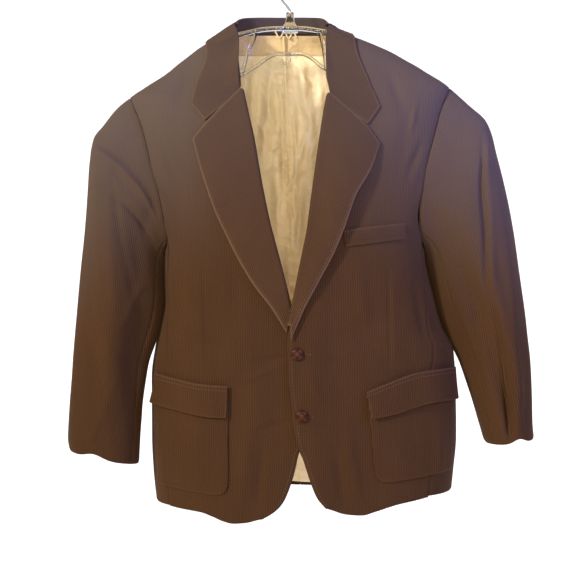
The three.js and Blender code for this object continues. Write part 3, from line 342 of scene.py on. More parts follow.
@dataclass(frozen=True)
class BodyForm:
    """The hung body: rounded sections between tracks for its sides and depths."""
    roundness: float = 2.5
    neck_z: float = -86
    armpit_z: float = -440
    hem_zone_z: float = -700
    hole_half_angle: float = 27.5
    hole_join: float = 129 * DEG
    left_shoulder_z: float = -197
    right_shoulder_z: float = -181
    left: Track = Track(LEFT_SIDE)
    right: Track = Track(RIGHT_SIDE)
    depths: Track = Track(DEPTHS)

    def shoulder_z(self, side: Side) -> float:
        """Height of the shoulder's point."""
        return self.left_shoulder_z if side is Side.LEFT else self.right_shoulder_z

    def section(self, z: np.ndarray) -> tuple[np.ndarray, ...]:
        """Middle, half width, front depth and back depth at a height."""
        left, right = self.left(z)[..., 0], self.right(z)[..., 0]
        depth = self.depths(z)
        return (left + right) / 2, (right - left) / 2, depth[..., 0], depth[..., 1]

    def angle_at(self, x: np.ndarray, z: np.ndarray) -> np.ndarray:
        """Angle round the front's section for a place across."""
        middle, half, _, _ = self.section(z)
        c = np.clip((x - middle) / half, -1, 1)
        return np.arccos(np.sign(c) * np.abs(c) ** (self.roundness / 2))

    def back_angle(self, x: np.ndarray, z: np.ndarray) -> np.ndarray:
        """Angle round the back's section for a place across."""
        return 2 * np.pi - self.angle_at(x, z)

    def point(self, angle: np.ndarray, z: np.ndarray) -> np.ndarray:
        """Point of the cloth at an angle and a height."""
        middle, half, front, back = self.section(z)
        power = 2 / self.roundness
        c, s = np.cos(angle), np.sin(angle)
        x = middle + half * np.sign(c) * np.abs(c) ** power
        rise = np.abs(s) ** power
        y = np.where(s >= 0, -(front + creases(x, z, BODY_FOLDS, 0.35)) * rise, back * rise)
        return np.stack(np.broadcast_arrays(x, y, z), -1)

    def normal(self, angle: np.ndarray, z: np.ndarray) -> np.ndarray:
        """Direction out of the cloth."""
        across = self.point(angle + 0.02, z) - self.point(angle - 0.02, z)
        up = self.point(angle, z + 2) - self.point(angle, z - 2)
        return -unit(np.cross(across, up))

    def on_front(self, x: np.ndarray, z: np.ndarray, out: np.ndarray | float) -> np.ndarray:
        """Point a distance out from the front's cloth, with the creases of that cloth."""
        x, z, out = np.broadcast_arrays(np.asarray(x, float), z, out)
        angle = self.angle_at(x, z)
        height = out + creases(x, z, FRONT_CREASES, 0.05)
        return self.point(angle, z) + self.normal(angle, z) * height[..., None]

    def armhole(self, side: Side, turn: np.ndarray | float) -> tuple[np.ndarray, np.ndarray]:
        """Height and angle from the side of the armhole's edge, with turn 0 at the shoulder."""
        top = self.shoulder_z(side)
        z = (top + self.armpit_z) / 2 + (top - self.armpit_z) / 2 * np.cos(turn)
        spread = self.hole_half_angle * DEG * np.abs(np.sin(turn)) ** 0.75 * (1 - 0.25 * np.cos(turn))
        return z, spread

    def side_angle(self, side: Side, spread: np.ndarray, front: np.ndarray | bool) -> np.ndarray:
        """Angle round the section from an angle measured from the side of the body."""
        if side is Side.LEFT:
            return np.where(front, np.pi - spread, np.pi + spread)
        return np.where(front, spread, 2 * np.pi - spread)

    def seam_spread(self, side: Side, z: np.ndarray, table: Sequence[Sequence[float]]) -> np.ndarray:
        """Angle from the side of the body to a seam below the armhole."""
        join_z, spread = self.armhole(side, self.hole_join)
        return Track([[join_z, spread / DEG], *table])(z)[..., 0] * DEG

    def clear(self, points: np.ndarray, clearance: np.ndarray) -> np.ndarray:
        """Moves points out until they are clear of the body.

        Args:
            points: Points round the neck.
            clearance: The distance that each keeps from the body.

        Returns:
            The moved points.
        """
        def level(p: np.ndarray) -> np.ndarray:
            middle, half, front, back = self.section(p[..., 2])
            depth = np.where(p[..., 1] < 0, front, back)
            power = self.roundness
            return (np.abs((p[..., 0] - middle) / half) ** power
                    + np.abs(p[..., 1] / depth) ** power) ** (1 / power) - 1

        p = points.copy()
        for _ in range(8):
            here = level(p)
            slope = np.stack([(level(p + 0.5 * axis) - here) / 0.5 for axis in np.eye(3)], -1)
            length = np.linalg.norm(slope, axis=-1)
            rise = np.where(p[..., 1] < 0, creases(p[..., 0], p[..., 2], BODY_FOLDS, 0.35), 0)
            lack = clearance + rise - here / length
            move = np.where((lack > 0.02) & (p[..., 2] < self.neck_z + 5), np.minimum(lack, 6), 0)
            p = p + slope * (move / length)[..., None]
        return p


BODY = BodyForm()


def overlap_lift(x: np.ndarray, z: np.ndarray) -> np.ndarray:
    """How far the front that buttons on top is raised where it covers the other."""
    return OVERLAP * ease((80 - x) / 50) * ease((-440 - z) / 60)


def edge_distance(grid: np.ndarray) -> np.ndarray:
    """Distance along the cloth from each point of a grid to its nearest edge."""
    across = np.cumsum(np.linalg.norm(np.diff(grid, axis=1, prepend=grid[:, :1]), axis=-1), axis=1)
    down = np.cumsum(np.linalg.norm(np.diff(grid, axis=0, prepend=grid[:1]), axis=-1), axis=0)
    sides = [across, across[:, -1:] - across, down, down[-1:] - down]
    return np.minimum.reduce(sides)


def even_across(base: np.ndarray, normal: np.ndarray, cols: int, gap: float) -> tuple[np.ndarray, np.ndarray]:
    """Lays a grid's columns out evenly along its rows, closer together beside both edges.

    Args:
        base: Points of the cloth.
        normal: Directions out of it.
        cols: Columns between the two edges.
        gap: Distance kept from each edge.

    Returns:
        The points and directions at the new columns.
    """
    distance = run_across(base)
    near = np.array([0.0, 0.9, 1.9, 3.2, 5.0, 8.0])
    both = np.concatenate([base, normal], -1)
    rows = []
    for at, row in zip(distance, both):
        total = at[-1]
        steps = near * min(1.0, total / 40) + min(gap, total / 8)
        where = np.concatenate([steps[:-1], np.linspace(steps[-1], total - steps[-1], cols), total - steps[-2::-1]])
        rows.append(np.stack([np.interp(where, at, row[:, c]) for c in range(6)], -1))
    grid = np.array(rows)
    return grid[..., :3], unit(grid[..., 3:])


def run_across(grid: np.ndarray) -> np.ndarray:
    """Distance along each row of a grid from its first point."""
    return np.cumsum(np.linalg.norm(np.diff(grid, axis=1, prepend=grid[:, :1]), axis=-1), axis=1)


@dataclass
class Wall:
    """A closed sheet of cloth between two grids, with a rounded edge all round."""
    outer: np.ndarray
    inner: np.ndarray
    uv: np.ndarray
    # Strength of the paler edge: real wear, partly a painted highlight where the edges catch the light
    wear_and_highlight: float = 0.0
    other_cols: int = 0
    edge_roll: int = 3
    turned_in: int = 12

    def mesh(self, name: str) -> bpy.types.Mesh:
        """Builds the mesh, with its cloth map, its paler edge of wear and painted highlight, and slot 1 on the hidden
        layer.

        Args:
            name: Name of the mesh.

        Returns:
            The closed mesh in metres.
        """
        rows, cols = self.outer.shape[:2]
        index = np.arange(rows * cols).reshape(rows, cols)
        rim = np.concatenate([index[0, :-1], index[:-1, -1], index[-1, :0:-1], index[:0:-1, 0]])
        i, j = np.divmod(rim, cols)
        inside = (np.clip(i, 1, rows - 2), np.clip(j, 1, cols - 2))
        centre = (self.outer + self.inner) / 2
        half = (self.outer - self.inner)[i, j] / 2
        away = centre[i, j] - centre[inside]
        normal = unit(half)
        away = unit(away - normal * np.sum(away * normal, -1, keepdims=True))
        radius = np.linalg.norm(half, axis=-1, keepdims=True)
        rolls = []
        for k in range(1, self.edge_roll + 1):
            angle = np.pi * k / (self.edge_roll + 1)
            rolls.append(centre[i, j] + half * np.cos(angle) + away * radius * np.sin(angle))
        points = np.concatenate([self.outer.reshape(-1, 3), self.inner.reshape(-1, 3), *rolls])
        size = rows * cols
        flat_uv = self.uv.reshape(-1, 2)
        uv = np.concatenate([flat_uv, flat_uv, *[flat_uv[rim]] * self.edge_roll])
        a, b, c, d = index[:-1, :-1], index[:-1, 1:], index[1:, 1:], index[1:, :-1]
        face = np.stack([a, b, c, d], -1).reshape(-1, 4)
        quads = [face, face[:, ::-1] + size]
        loops = [rim, *[2 * size + k * len(rim) + np.arange(len(rim)) for k in range(self.edge_roll)], rim + size]
        for upper, lower in zip(loops, loops[1:]):
            quads.append(np.stack([upper, lower, np.roll(lower, -1), np.roll(upper, -1)], -1))
        faces = np.concatenate(quads)
        # Paler edge mask: wear, partly a painted highlight
        wear_and_painted_light = np.full(len(points), self.wear_and_highlight)
        wear_and_painted_light[:size] = self.wear_and_highlight * np.exp(-((edge_distance(self.outer) / 2.2) ** 2)).ravel()
        slots = np.zeros(len(faces), int)
        # The hidden layer has slot 1, but for a margin of the face's own cloth turned in
        hem = min(self.turned_in, (rows - 2) // 2, (cols - 2) // 2)
        slots[len(face):2 * len(face)].reshape(rows - 1, cols - 1)[hem:rows - 1 - hem, hem:cols - 1 - hem] = 1
        slots[:len(face)].reshape(rows - 1, cols - 1)[:, :self.other_cols] = 1
        return closed_mesh(name, points, faces, uv, wear_and_painted_light, slots)


def closed_mesh(name: str, points: np.ndarray, faces: np.ndarray, uv: np.ndarray, wear_and_painted_light: np.ndarray,
                slots: np.ndarray) -> bpy.types.Mesh:
    """Makes a smooth mesh whose faces point outwards.

    Args:
        name: Name of the mesh.
        points: Points in millimetres.
        faces: Quads of point numbers.
        uv: Place of each point on the cloth, in metres.
        wear_and_painted_light: How near each point is to an edge, 0 to 1, for the paler edge of wear and painted
            highlight.
        slots: Material slot of each face.

    Returns:
        The mesh in metres.
    """
    p0, p1, p2, p3 = (points[faces[:, k]] for k in range(4))
    volume = np.sum(p0 * np.cross(p1, p2)) + np.sum(p0 * np.cross(p2, p3))
    if volume < 0:
        faces = faces[:, ::-1]
    mesh = bpy.data.meshes.new(name)
    mesh.from_pydata((points * MM).tolist(), [], faces.tolist())
    layer = mesh.uv_layers.new(name="cloth")
    corner = np.empty(len(mesh.loops), np.int32)
    mesh.loops.foreach_get("vertex_index", corner)
    layer.data.foreach_set("uv", uv[corner].astype(np.float32).ravel())
    attribute = mesh.attributes.new("wear_and_painted_light", "FLOAT", "POINT")
    attribute.data.foreach_set("value", wear_and_painted_light.astype(np.float32))
    mesh.polygons.foreach_set("use_smooth", np.ones(len(faces), bool))
    mesh.polygons.foreach_set("material_index", slots.astype(np.int32))
    mesh.update()
    return mesh


def place(name: str, mesh: bpy.types.Mesh, finishes: Sequence[bpy.types.Material],
          stands_for: Sequence[str] = ()) -> bpy.types.Object:
    """Puts a mesh in the scene as a piece of the jacket.

    Args:
        name: Name of the piece.
        mesh: Its mesh, in metres.
        finishes: Materials of its slots.
        stands_for: CAD nodes that it replaces.

    Returns:
        The object.
    """
    piece = bpy.data.objects.new(name, mesh)
    bpy.context.scene.collection.objects.link(piece)
    for finish in finishes:
        mesh.materials.append(finish)
    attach(piece, "root")
    if stands_for:
        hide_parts(*stands_for)
    LOG.info("%s: %d faces", name, len(mesh.polygons))
    return piece


def place_sheet(name: str, wall: Wall, finishes: Sequence[bpy.types.Material]) -> bpy.types.Object:
    """Puts a sheet of cloth in the scene in place of the CAD part that it was cut to."""
    piece = place(f"{name}_cloth", wall.mesh(f"{name}_cloth"), finishes, [name])
    return piece


# Finishes


def srgb(code: str) -> tuple[float, float, float, float]:
    """Linear colour of an sRGB hex code."""
    values = [int(code[k:k + 2], 16) / 255 for k in (0, 2, 4)]
    linear = [v / 12.92 if v <= 0.04045 else ((v + 0.055) / 1.055) ** 2.4 for v in values]
    return (*linear, 1.0)


def node(tree: bpy.types.NodeTree, kind: str, settings: dict | None = None,
         links: dict | None = None) -> bpy.types.Node:
    """Adds a node with its settings and links.

    Args:
        tree: Tree that gets the node.
        kind: Type of the node.
        settings: Properties and socket values, by name or socket number.
        links: Output sockets for its inputs, by name or socket number.

    Returns:
        The node.
    """
    made = tree.nodes.new(kind)
    for key, value in (settings or {}).items():
        if isinstance(key, str) and hasattr(made, key):
            setattr(made, key, value)
        else:
            made.inputs[key].default_value = value
    for key, socket in (links or {}).items():
        tree.links.new(socket, made.inputs[key])
    return made


def blank(name: str) -> tuple[bpy.types.Material, bpy.types.NodeTree, bpy.types.Node]:
    """A material with only its Principled shader and output."""
    material = bpy.data.materials.new(name)
    material.use_nodes = True
    tree = material.node_tree
    shader = next(n for n in tree.nodes if n.type == "BSDF_PRINCIPLED")
    return material, tree, shader


@dataclass(frozen=True)
class Corduroy:
    """Fine-wale cotton corduroy, cut pile: soft ridges, no gloss, pale fuzz at a grazing view."""
    name: str
    ridge: str
    # Darker colour of the grooves between wales: painted shade
    groove_shade: str
    # Paler colour of worn edges, partly a painted highlight; also the sheen's tint
    wear_and_highlight: str
    # Pale grey of the painted sheen over the upper and outer parts, and how much of it is laid on
    painted_sheen: str = "5c5048"
    painted_sheen_share: float = 0.62
    # Real pinwale has a wale each 1.4 mm; drawn coarser, so that the wales show in the render
    wale_mm: float = 2.7
    relief_mm: float = 0.5

    def build(self) -> bpy.types.Material:
        """Builds the material on the cloth map, whose U runs across the wales."""
        material, tree, shader = blank(self.name)
        uv = node(tree, "ShaderNodeUVMap", {"uv_map": "cloth"})
        # The wales wander a little, as pile does where it has been pressed
        wander = node(tree, "ShaderNodeTexNoise", {"Scale": 38.0, "Detail": 2.0},
                      {"Vector": uv.outputs["UV"]})
        split = node(tree, "ShaderNodeSeparateXYZ", {}, {0: uv.outputs["UV"]})
        shift = node(tree, "ShaderNodeMath", {"operation": "MULTIPLY_ADD", 1: 0.0035},
                     {0: wander.outputs["Fac"], 2: split.outputs["X"]})
        phase = node(tree, "ShaderNodeMath", {"operation": "MULTIPLY", 1: 2 * np.pi / (self.wale_mm * MM)},
                     {0: shift.outputs[0]})
        wave = node(tree, "ShaderNodeMath", {"operation": "SINE"}, {0: phase.outputs[0]})
        ridge = node(tree, "ShaderNodeMapRange", {"From Min": -1.0, "From Max": 0.6}, {"Value": wave.outputs[0]})
        # Nap: tufts about 1 mm long on every wale
        tuft_place = node(tree, "ShaderNodeMapping", {"Scale": (1.0, 0.45, 1.0)}, {"Vector": uv.outputs["UV"]})
        tuft = node(tree, "ShaderNodeTexNoise", {"Scale": 620.0, "Detail": 3.0, "Roughness": 0.7},
                    {"Vector": tuft_place.outputs[0]})
        height = node(tree, "ShaderNodeMath", {"operation": "MULTIPLY_ADD", 1: 0.55},
                      {0: tuft.outputs["Fac"], 2: ridge.outputs[0]})
        bump = node(tree, "ShaderNodeBump", {"Strength": 0.6, "Distance": self.relief_mm * MM},
                    {"Height": height.outputs[0]})
        # Pile laid one way or the other by wear makes broad, faint patches
        patch_place = node(tree, "ShaderNodeMapping", {"Scale": (1.0, 0.3, 1.0)}, {"Vector": uv.outputs["UV"]})
        patch = node(tree, "ShaderNodeTexNoise", {"Scale": 16.0, "Detail": 4.0, "Roughness": 0.6},
                     {"Vector": patch_place.outputs[0]})
        tone = node(tree, "ShaderNodeMath", {"operation": "MULTIPLY_ADD", 1: 0.42, 2: -0.21},
                    {0: patch.outputs["Fac"]})
        speck = node(tree, "ShaderNodeMath", {"operation": "MULTIPLY_ADD", 1: 0.56},
                     {0: tuft.outputs["Fac"], 2: tone.outputs[0]})
        # Painted shade: the grooves between wales take the darker colour, broken up by the random tufts and patches
        depth = node(tree, "ShaderNodeMath", {"operation": "MULTIPLY_ADD", 1: 0.42, "use_clamp": True},
                     {0: ridge.outputs[0], 2: speck.outputs[0]})
        cloth = node(tree, "ShaderNodeMix", {"data_type": "RGBA", 6: srgb(self.groove_shade), 7: srgb(self.ridge)},
                     {0: depth.outputs[0]})
        # Painted sheen: the shoulders, the chest and the outer parts are mixed towards a pale grey, standing in for
        # light from above on the pile
        where = node(tree, "ShaderNodeTexCoord")
        upright = node(tree, "ShaderNodeSeparateXYZ", {}, {0: where.outputs["Object"]})
        outward = node(tree, "ShaderNodeMath", {"operation": "ABSOLUTE"}, {0: upright.outputs["X"]})
        raised = node(tree, "ShaderNodeMath", {"operation": "MULTIPLY_ADD", 1: 0.45},
                      {0: outward.outputs[0], 2: upright.outputs["Z"]})
        high = node(tree, "ShaderNodeMapRange", {"interpolation_type": "SMOOTHSTEP", "From Min": -0.45,
                                                 "From Max": -0.02, "To Max": self.painted_sheen_share},
                    {"Value": raised.outputs[0]})
        painted_sheen = node(tree, "ShaderNodeMix", {"data_type": "RGBA", 7: srgb(self.painted_sheen)},
                      {0: high.outputs[0], 6: cloth.outputs[2]})
        # Paler edges: real wear, partly a painted highlight where the edges catch the light
        edge = node(tree, "ShaderNodeAttribute", {"attribute_name": "wear_and_painted_light"})
        rub_and_highlight = node(tree, "ShaderNodeMath", {"operation": "MULTIPLY", 1: 0.5}, {0: edge.outputs["Fac"]})
        rubbed_and_highlit = node(tree, "ShaderNodeMix", {"data_type": "RGBA", 7: srgb(self.wear_and_highlight)},
                      {0: rub_and_highlight.outputs[0], 6: painted_sheen.outputs[2]})
        tree.links.new(rubbed_and_highlit.outputs[2], shader.inputs["Base Color"])
        tree.links.new(bump.outputs[0], shader.inputs["Normal"])
        shader.inputs["Roughness"].default_value = 0.92
        shader.inputs["Specular IOR Level"].default_value = 0.12
        shader.inputs["Sheen Weight"].default_value = 0.3
        shader.inputs["Sheen Roughness"].default_value = 0.4
        shader.inputs["Sheen Tint"].default_value = srgb(self.wear_and_highlight)
        return material


@dataclass(frozen=True)
class Satin:
    """Woven rayon satin lining: smooth floats of thread, with a soft stretched highlight."""
    name: str
    face: str
    shade: str
    # Real threads lie 0.2 mm apart; drawn as a 2 mm slub, the finest that shows
    thread_mm: float = 2.0

    def build(self) -> bpy.types.Material:
        """Builds the material on the cloth map."""
        material, tree, shader = blank(self.name)
        uv = node(tree, "ShaderNodeUVMap", {"uv_map": "cloth"})
        stretch = node(tree, "ShaderNodeMapping", {"Scale": (1.0, 0.12, 1.0)}, {"Vector": uv.outputs["UV"]})
        slub = node(tree, "ShaderNodeTexNoise", {"Scale": 1 / (self.thread_mm * MM), "Detail": 3.0},
                    {"Vector": stretch.outputs[0]})
        crush = node(tree, "ShaderNodeTexNoise", {"Scale": 46.0, "Detail": 5.0, "Roughness": 0.62},
                     {"Vector": uv.outputs["UV"]})
        # Sharp crinkles, as a lining keeps them where it was crushed
        slant = node(tree, "ShaderNodeMapping", {"Rotation": (0, 0, 0.5), "Scale": (1.0, 0.55, 1.0)},
                     {"Vector": uv.outputs["UV"]})
        warp = node(tree, "ShaderNodeTexNoise", {"Scale": 24.0, "Detail": 2.0}, {"Vector": slant.outputs[0]})
        bent = node(tree, "ShaderNodeMix", {"data_type": "VECTOR", 0: 0.045},
                    {4: slant.outputs[0], 5: warp.outputs["Color"]})
        crinkle = node(tree, "ShaderNodeTexVoronoi", {"feature": "SMOOTH_F1", "Scale": 30.0, "Smoothness": 0.05},
                       {"Vector": bent.outputs[1]})
        sum_up = node(tree, "ShaderNodeMath", {"operation": "MULTIPLY_ADD", 1: 1.6},
                      {0: crinkle.outputs["Distance"], 2: crush.outputs["Fac"]})
        height = node(tree, "ShaderNodeMath", {"operation": "MULTIPLY_ADD", 1: 0.08},
                      {0: slub.outputs["Fac"], 2: sum_up.outputs[0]})
        bump = node(tree, "ShaderNodeBump", {"Strength": 0.8, "Distance": 4.5 * MM},
                    {"Height": height.outputs[0]})
        # Painted shade: the colour turns to the shade colour where the crush noise is low, which is also where it
        # lowers the bump
        tone = node(tree, "ShaderNodeMapRange", {"From Min": 0.1, "From Max": 0.6}, {"Value": crush.outputs["Fac"]})
        colour = node(tree, "ShaderNodeMix", {"data_type": "RGBA", 6: srgb(self.shade), 7: srgb(self.face)},
                      {0: tone.outputs[0]})
        tree.links.new(colour.outputs[2], shader.inputs["Base Color"])
        tree.links.new(bump.outputs[0], shader.inputs["Normal"])
        shader.inputs["Roughness"].default_value = 0.38
        shader.inputs["Anisotropic"].default_value = 0.4
        shader.inputs["Sheen Weight"].default_value = 0.15
        return material


@dataclass(frozen=True)
class Leather:
    """Woven leather over a shank: polished strands, with painted shade near black where they dive under each other."""
    name: str
    strand: str
    # Near black painted shade where the strands dive under each other
    dive_shade: str

    def build(self) -> bpy.types.Material:
        """Builds the material, with painted shade where the attribute, the depth in the weave here, is high."""
        material, tree, shader = blank(self.name)
        depth = node(tree, "ShaderNodeAttribute", {"attribute_name": "wear_and_painted_light"})
        colour = node(tree, "ShaderNodeMix", {"data_type": "RGBA", 6: srgb(self.strand), 7: srgb(self.dive_shade)},
                      {0: depth.outputs["Fac"]})
        where = node(tree, "ShaderNodeTexCoord")
        grain = node(tree, "ShaderNodeTexNoise", {"Scale": 900.0, "Detail": 3.0}, {"Vector": where.outputs["Object"]})
        bump = node(tree, "ShaderNodeBump", {"Strength": 0.25, "Distance": 0.2 * MM},
                    {"Height": grain.outputs["Fac"]})
        tree.links.new(colour.outputs[2], shader.inputs["Base Color"])
        tree.links.new(bump.outputs[0], shader.inputs["Normal"])
        shader.inputs["Roughness"].default_value = 0.42
        shader.inputs["Specular IOR Level"].default_value = 0.1
        shader.inputs["Coat Weight"].default_value = 0.06
        shader.inputs["Coat Roughness"].default_value = 0.15
        return material


@dataclass(frozen=True)
class PlainFinish:
    """A plain finish of one colour, with the faint unevenness of its making."""
    name: str
    colour: str
    roughness: float
    metallic: float = 0.0
    transmission: float = 0.0
    ior: float = 1.5
    grain_scale: float = 240.0
    grain_mm: float = 0.05

    def build(self) -> bpy.types.Material:
        """Builds the material with a faint bump on Object coordinates."""
        material, tree, shader = blank(self.name)
        where = node(tree, "ShaderNodeTexCoord")
        grain = node(tree, "ShaderNodeTexNoise", {"Scale": self.grain_scale, "Detail": 2.0},
                     {"Vector": where.outputs["Object"]})
        bump = node(tree, "ShaderNodeBump", {"Strength": 0.3, "Distance": self.grain_mm * MM},
                    {"Height": grain.outputs["Fac"]})
        tree.links.new(bump.outputs[0], shader.inputs["Normal"])
        shader.inputs["Base Color"].default_value = srgb(self.colour)
        shader.inputs["Roughness"].default_value = self.roughness
        shader.inputs["Metallic"].default_value = self.metallic
        shader.inputs["Transmission Weight"].default_value = self.transmission
        shader.inputs["IOR"].default_value = self.ior
        return material


@dataclass
class Finishes:
    """The finishes of the jacket, built once."""
    cord: bpy.types.Material
    cord_collar: bpy.types.Material
    satin: bpy.types.Material
    satin_band: bpy.types.Material
    stand: bpy.types.Material
    leather: bpy.types.Material
    thread: bpy.types.Material
    tape: bpy.types.Material
    clear: bpy.types.Material
    steel: bpy.types.Material
    studio: bpy.types.Material

    @classmethod
    def make(cls) -> "Finishes":
        """Builds every finish."""
        return cls(
            cord=Corduroy("cotton_corduroy", "4b2f16", "1f1207", "7a5c40").build(),
            # A lighter copy of the corduroy for collar and lapels, as painted light, with less of the painted sheen
            cord_collar=Corduroy("cotton_corduroy_collar_lit", "4f341d", "23150a", "80624a", painted_sheen_share=0.28).build(),
            satin=Satin("rayon_satin", "ffe6b4", "f3d49c").build(),
            # A darker copy of the same satin for the neck band, as painted shade, which also dims the lamp's highlight
            # on the flat band
            satin_band=Satin("rayon_satin_band", "d6b681", "c2a06a").build(),
            # Brushed melton under the collar's roll: dull, and made dark partly as painted shade, so that the stand
            # recedes
            stand=PlainFinish("wool_melton_shaded", "3e302b", 0.95, grain_scale=900, grain_mm=0.4).build(),
            leather=Leather("woven_leather", "451f0a", "0a0301").build(),
            # Spun polyester thread: a little paler than the cloth, so that the rows show
            thread=PlainFinish("polyester_thread", "5a4431", 0.8, grain_scale=900).build(),
            tape=PlainFinish("rayon_tape", "dcc59a", 0.6, grain_scale=700, grain_mm=0.2).build(),
            # Moulded polystyrene: water clear, with bright edges where it bends the light
            clear=PlainFinish("clear_polystyrene", "e4e6e4", 0.06, transmission=1.0, ior=1.32, grain_mm=0.002).build(),
            # Bright zinc-plated steel wire: a mirror along its length
            steel=PlainFinish("zinc_plated_steel", "b4b7ba", 0.25, metallic=1.0, grain_mm=0.005).build(),
            studio=PlainFinish("studio_paper", "fdfdfd", 0.95).build(),
        )


# Sub-assemblies


@dataclass
class BodyPanels:
    """Fronts, side panels and backs, each cut and sewn on its own."""
    finishes: Finishes
    cols_front: int = 84
    cols_back: int = 64
    cols_side: int = 40
    rows_shoulder: int = 16
    rows_hole: int = 34
    rows_lower: int = 104
    gap: float = 0.55
    seam_dip: float = 0.9
    pucker: float = 0.3
    pucker_mm: float = 13.0

    def rows(self, side: Side, hem_z: float) -> tuple[np.ndarray, np.ndarray]:
        """Heights of the rows down a panel, and their turn round the armhole, NaN below it."""
        top = BODY.shoulder_z(side)
        shoulder = np.linspace(BODY.neck_z - 0.8, top, self.rows_shoulder, endpoint=False)
        turns = np.linspace(0, BODY.hole_join, self.rows_hole, endpoint=False)
        hole, _ = BODY.armhole(side, turns)
        join_z, _ = BODY.armhole(side, BODY.hole_join)
        near = np.array([4.5, 2.2, 0.0]) + 1.2
        lower = np.concatenate([np.linspace(join_z, hem_z + 9, self.rows_lower), hem_z + near])
        z = np.concatenate([shoulder, hole, lower])
        turn = np.concatenate([np.zeros(len(shoulder)), turns, np.full(len(lower), np.nan)])
        return z, turn

    def spread(self, side: Side, z: np.ndarray, turn: np.ndarray, table: Sequence[Sequence[float]]) -> np.ndarray:
        """Angle from the side of the body to a panel's outer seam at each row."""
        _, hole = BODY.armhole(side, np.nan_to_num(turn))
        return np.where(np.isnan(turn), BODY.seam_spread(side, z, table), hole)

    def finish_surface(self, base: np.ndarray, normal: np.ndarray, fold: np.ndarray) -> np.ndarray:
        """Height of the face over the plain form: creases, and seams drawn in with their pucker."""
        distance = edge_distance(base)
        along = np.hypot(base[..., 2], 0.6 * base[..., 0])
        wave = np.sin(along * 2 * np.pi / self.pucker_mm + 2.4 * np.sin(along / 31.0))
        pucker = self.pucker * wave * np.exp(-(((distance - 4) / 4.5) ** 2))
        return fold - self.seam_dip * np.exp(-((distance / 1.9) ** 2)) + pucker

    def panel(self, z: np.ndarray, outer_angle: np.ndarray, inner_z: np.ndarray, inner_angle: Callable,
              hem: Sequence[Sequence[float]], cols: int) -> tuple[np.ndarray, np.ndarray]:
        """Angles and heights of a panel between its two edges, drawn down to its hem.

        Args:
            z: Height of each row at the outer seam.
            outer_angle: Angle of that seam at each row.
            inner_z: Height of each row at the inner edge.
            inner_angle: Gives the angle of the inner edge at a height.
            hem: Distance across and height of the hem.
            cols: Columns across the panel.

        Returns:
            The angle and the height of every point.
        """
        u = np.linspace(0, 1, 2 * cols)[None, :]
        hem_at = Track(hem)
        share = ease((BODY.hem_zone_z - z) / (BODY.hem_zone_z - z[-1]))
        outer_x = BODY.point(outer_angle[-1], z[-1])[0]
        inner_x = BODY.point(inner_angle(inner_z[-1]), inner_z[-1])[0]
        inner_level = inner_z + (hem_at(inner_x)[0] - inner_z[-1]) * share
        angle = mix(outer_angle[:, None], inner_angle(inner_level)[:, None], u)
        x = mix(outer_x, inner_x, u)
        start = mix(z[-1], inner_z[-1], u)
        level = mix(z[:, None], inner_z[:, None], u) + (hem_at(x)[..., 0] - start) * share[:, None]
        return angle, level

    def front(self, side: Side) -> Wall:
        """One front, from the side seam to the front edge."""
        is_left = side is Side.LEFT
        edge = Track(LEFT_EDGE if is_left else RIGHT_EDGE)
        edge_end = -850.0 if is_left else -832.0
        outer_end = -837.5 if is_left else -820.5
        z, turn = self.rows(side, outer_end)
        join_z, _ = BODY.armhole(side, BODY.hole_join)
        inner_z = np.where(z > join_z, z, mix(join_z, edge_end + 1.2, (z - join_z) / (z[-1] - join_z)))
        spread = self.spread(side, z, turn, LEFT_SEAM if is_left else RIGHT_SEAM)
        angle, level = self.panel(
            z, BODY.side_angle(side, spread, True), inner_z,
            lambda at: BODY.angle_at(edge(at)[..., 0], at), LEFT_HEM if is_left else RIGHT_HEM, self.cols_front)
        base, normal = even_across(BODY.point(angle, level), BODY.normal(angle, level), self.cols_front, self.gap)
        lift = 0 if is_left else overlap_lift(base[..., 0], base[..., 2])
        fold = creases(base[..., 0], base[..., 2], FRONT_CREASES, 0.05) + lift
        face = self.finish_surface(base, normal, fold)
        across = run_across(base)
        u = base[:, -1:, 0] + side.out * (across[:, -1:] - across)
        uv = np.stack([u, base[..., 2]], -1) * MM
        return Wall(base + normal * face[..., None], base + normal * (fold - SHELL)[..., None], uv)

    def back(self, side: Side) -> Wall:
        """One half of the back, from the side seam to the centre seam."""
        hem_z = -837.0 if side is Side.LEFT else -818.0
        z, turn = self.rows(side, hem_z)
        spread = self.spread(side, z, turn, BACK_SEAM)
        angle, level = self.panel(
            z, BODY.side_angle(side, spread, False), z,
            lambda at: BODY.back_angle(centre_back(at), at), BACK_HEM, self.cols_back)
        base, normal = even_across(BODY.point(angle, level), BODY.normal(angle, level), self.cols_back, self.gap)
        fold = creases(base[..., 0], base[..., 2], BACK_CREASES, 0.05)
        fold = fold * np.clip((base[..., 1] - 10) / 30, 0, 1)
        face = self.finish_surface(base, normal, fold)
        across = run_across(base)
        u = base[:, -1:, 0] + side.out * (across[:, -1:] - across)
        uv = np.stack([u, base[..., 2]], -1) * MM
        return Wall(base + normal * face[..., None], base + normal * (fold - SHELL)[..., None], uv)

    def side_panel(self, side: Side) -> Wall:
        """The panel under the arm, between the front and the back."""
        is_left = side is Side.LEFT
        hems = (-837.5, -837.0) if is_left else (-820.5, -818.0)
        u = np.linspace(0, 1, 2 * self.cols_side)[None, :]
        v = np.concatenate([[0.0016, 0.005], np.linspace(0.012, 0.985, self.rows_lower), [0.991, 0.995, 0.9972]])
        seam = LEFT_SEAM if is_left else RIGHT_SEAM
        turn = mix(BODY.hole_join, 2 * np.pi - BODY.hole_join, u)
        hole_z, hole_spread = BODY.armhole(side, turn)
        z = mix(hole_z, mix(hems[0], hems[1], u), v[:, None])

        def across(at: np.ndarray) -> np.ndarray:
            front = BODY.seam_spread(side, at, seam)
            return mix(front, -BODY.seam_spread(side, at, BACK_SEAM), u)

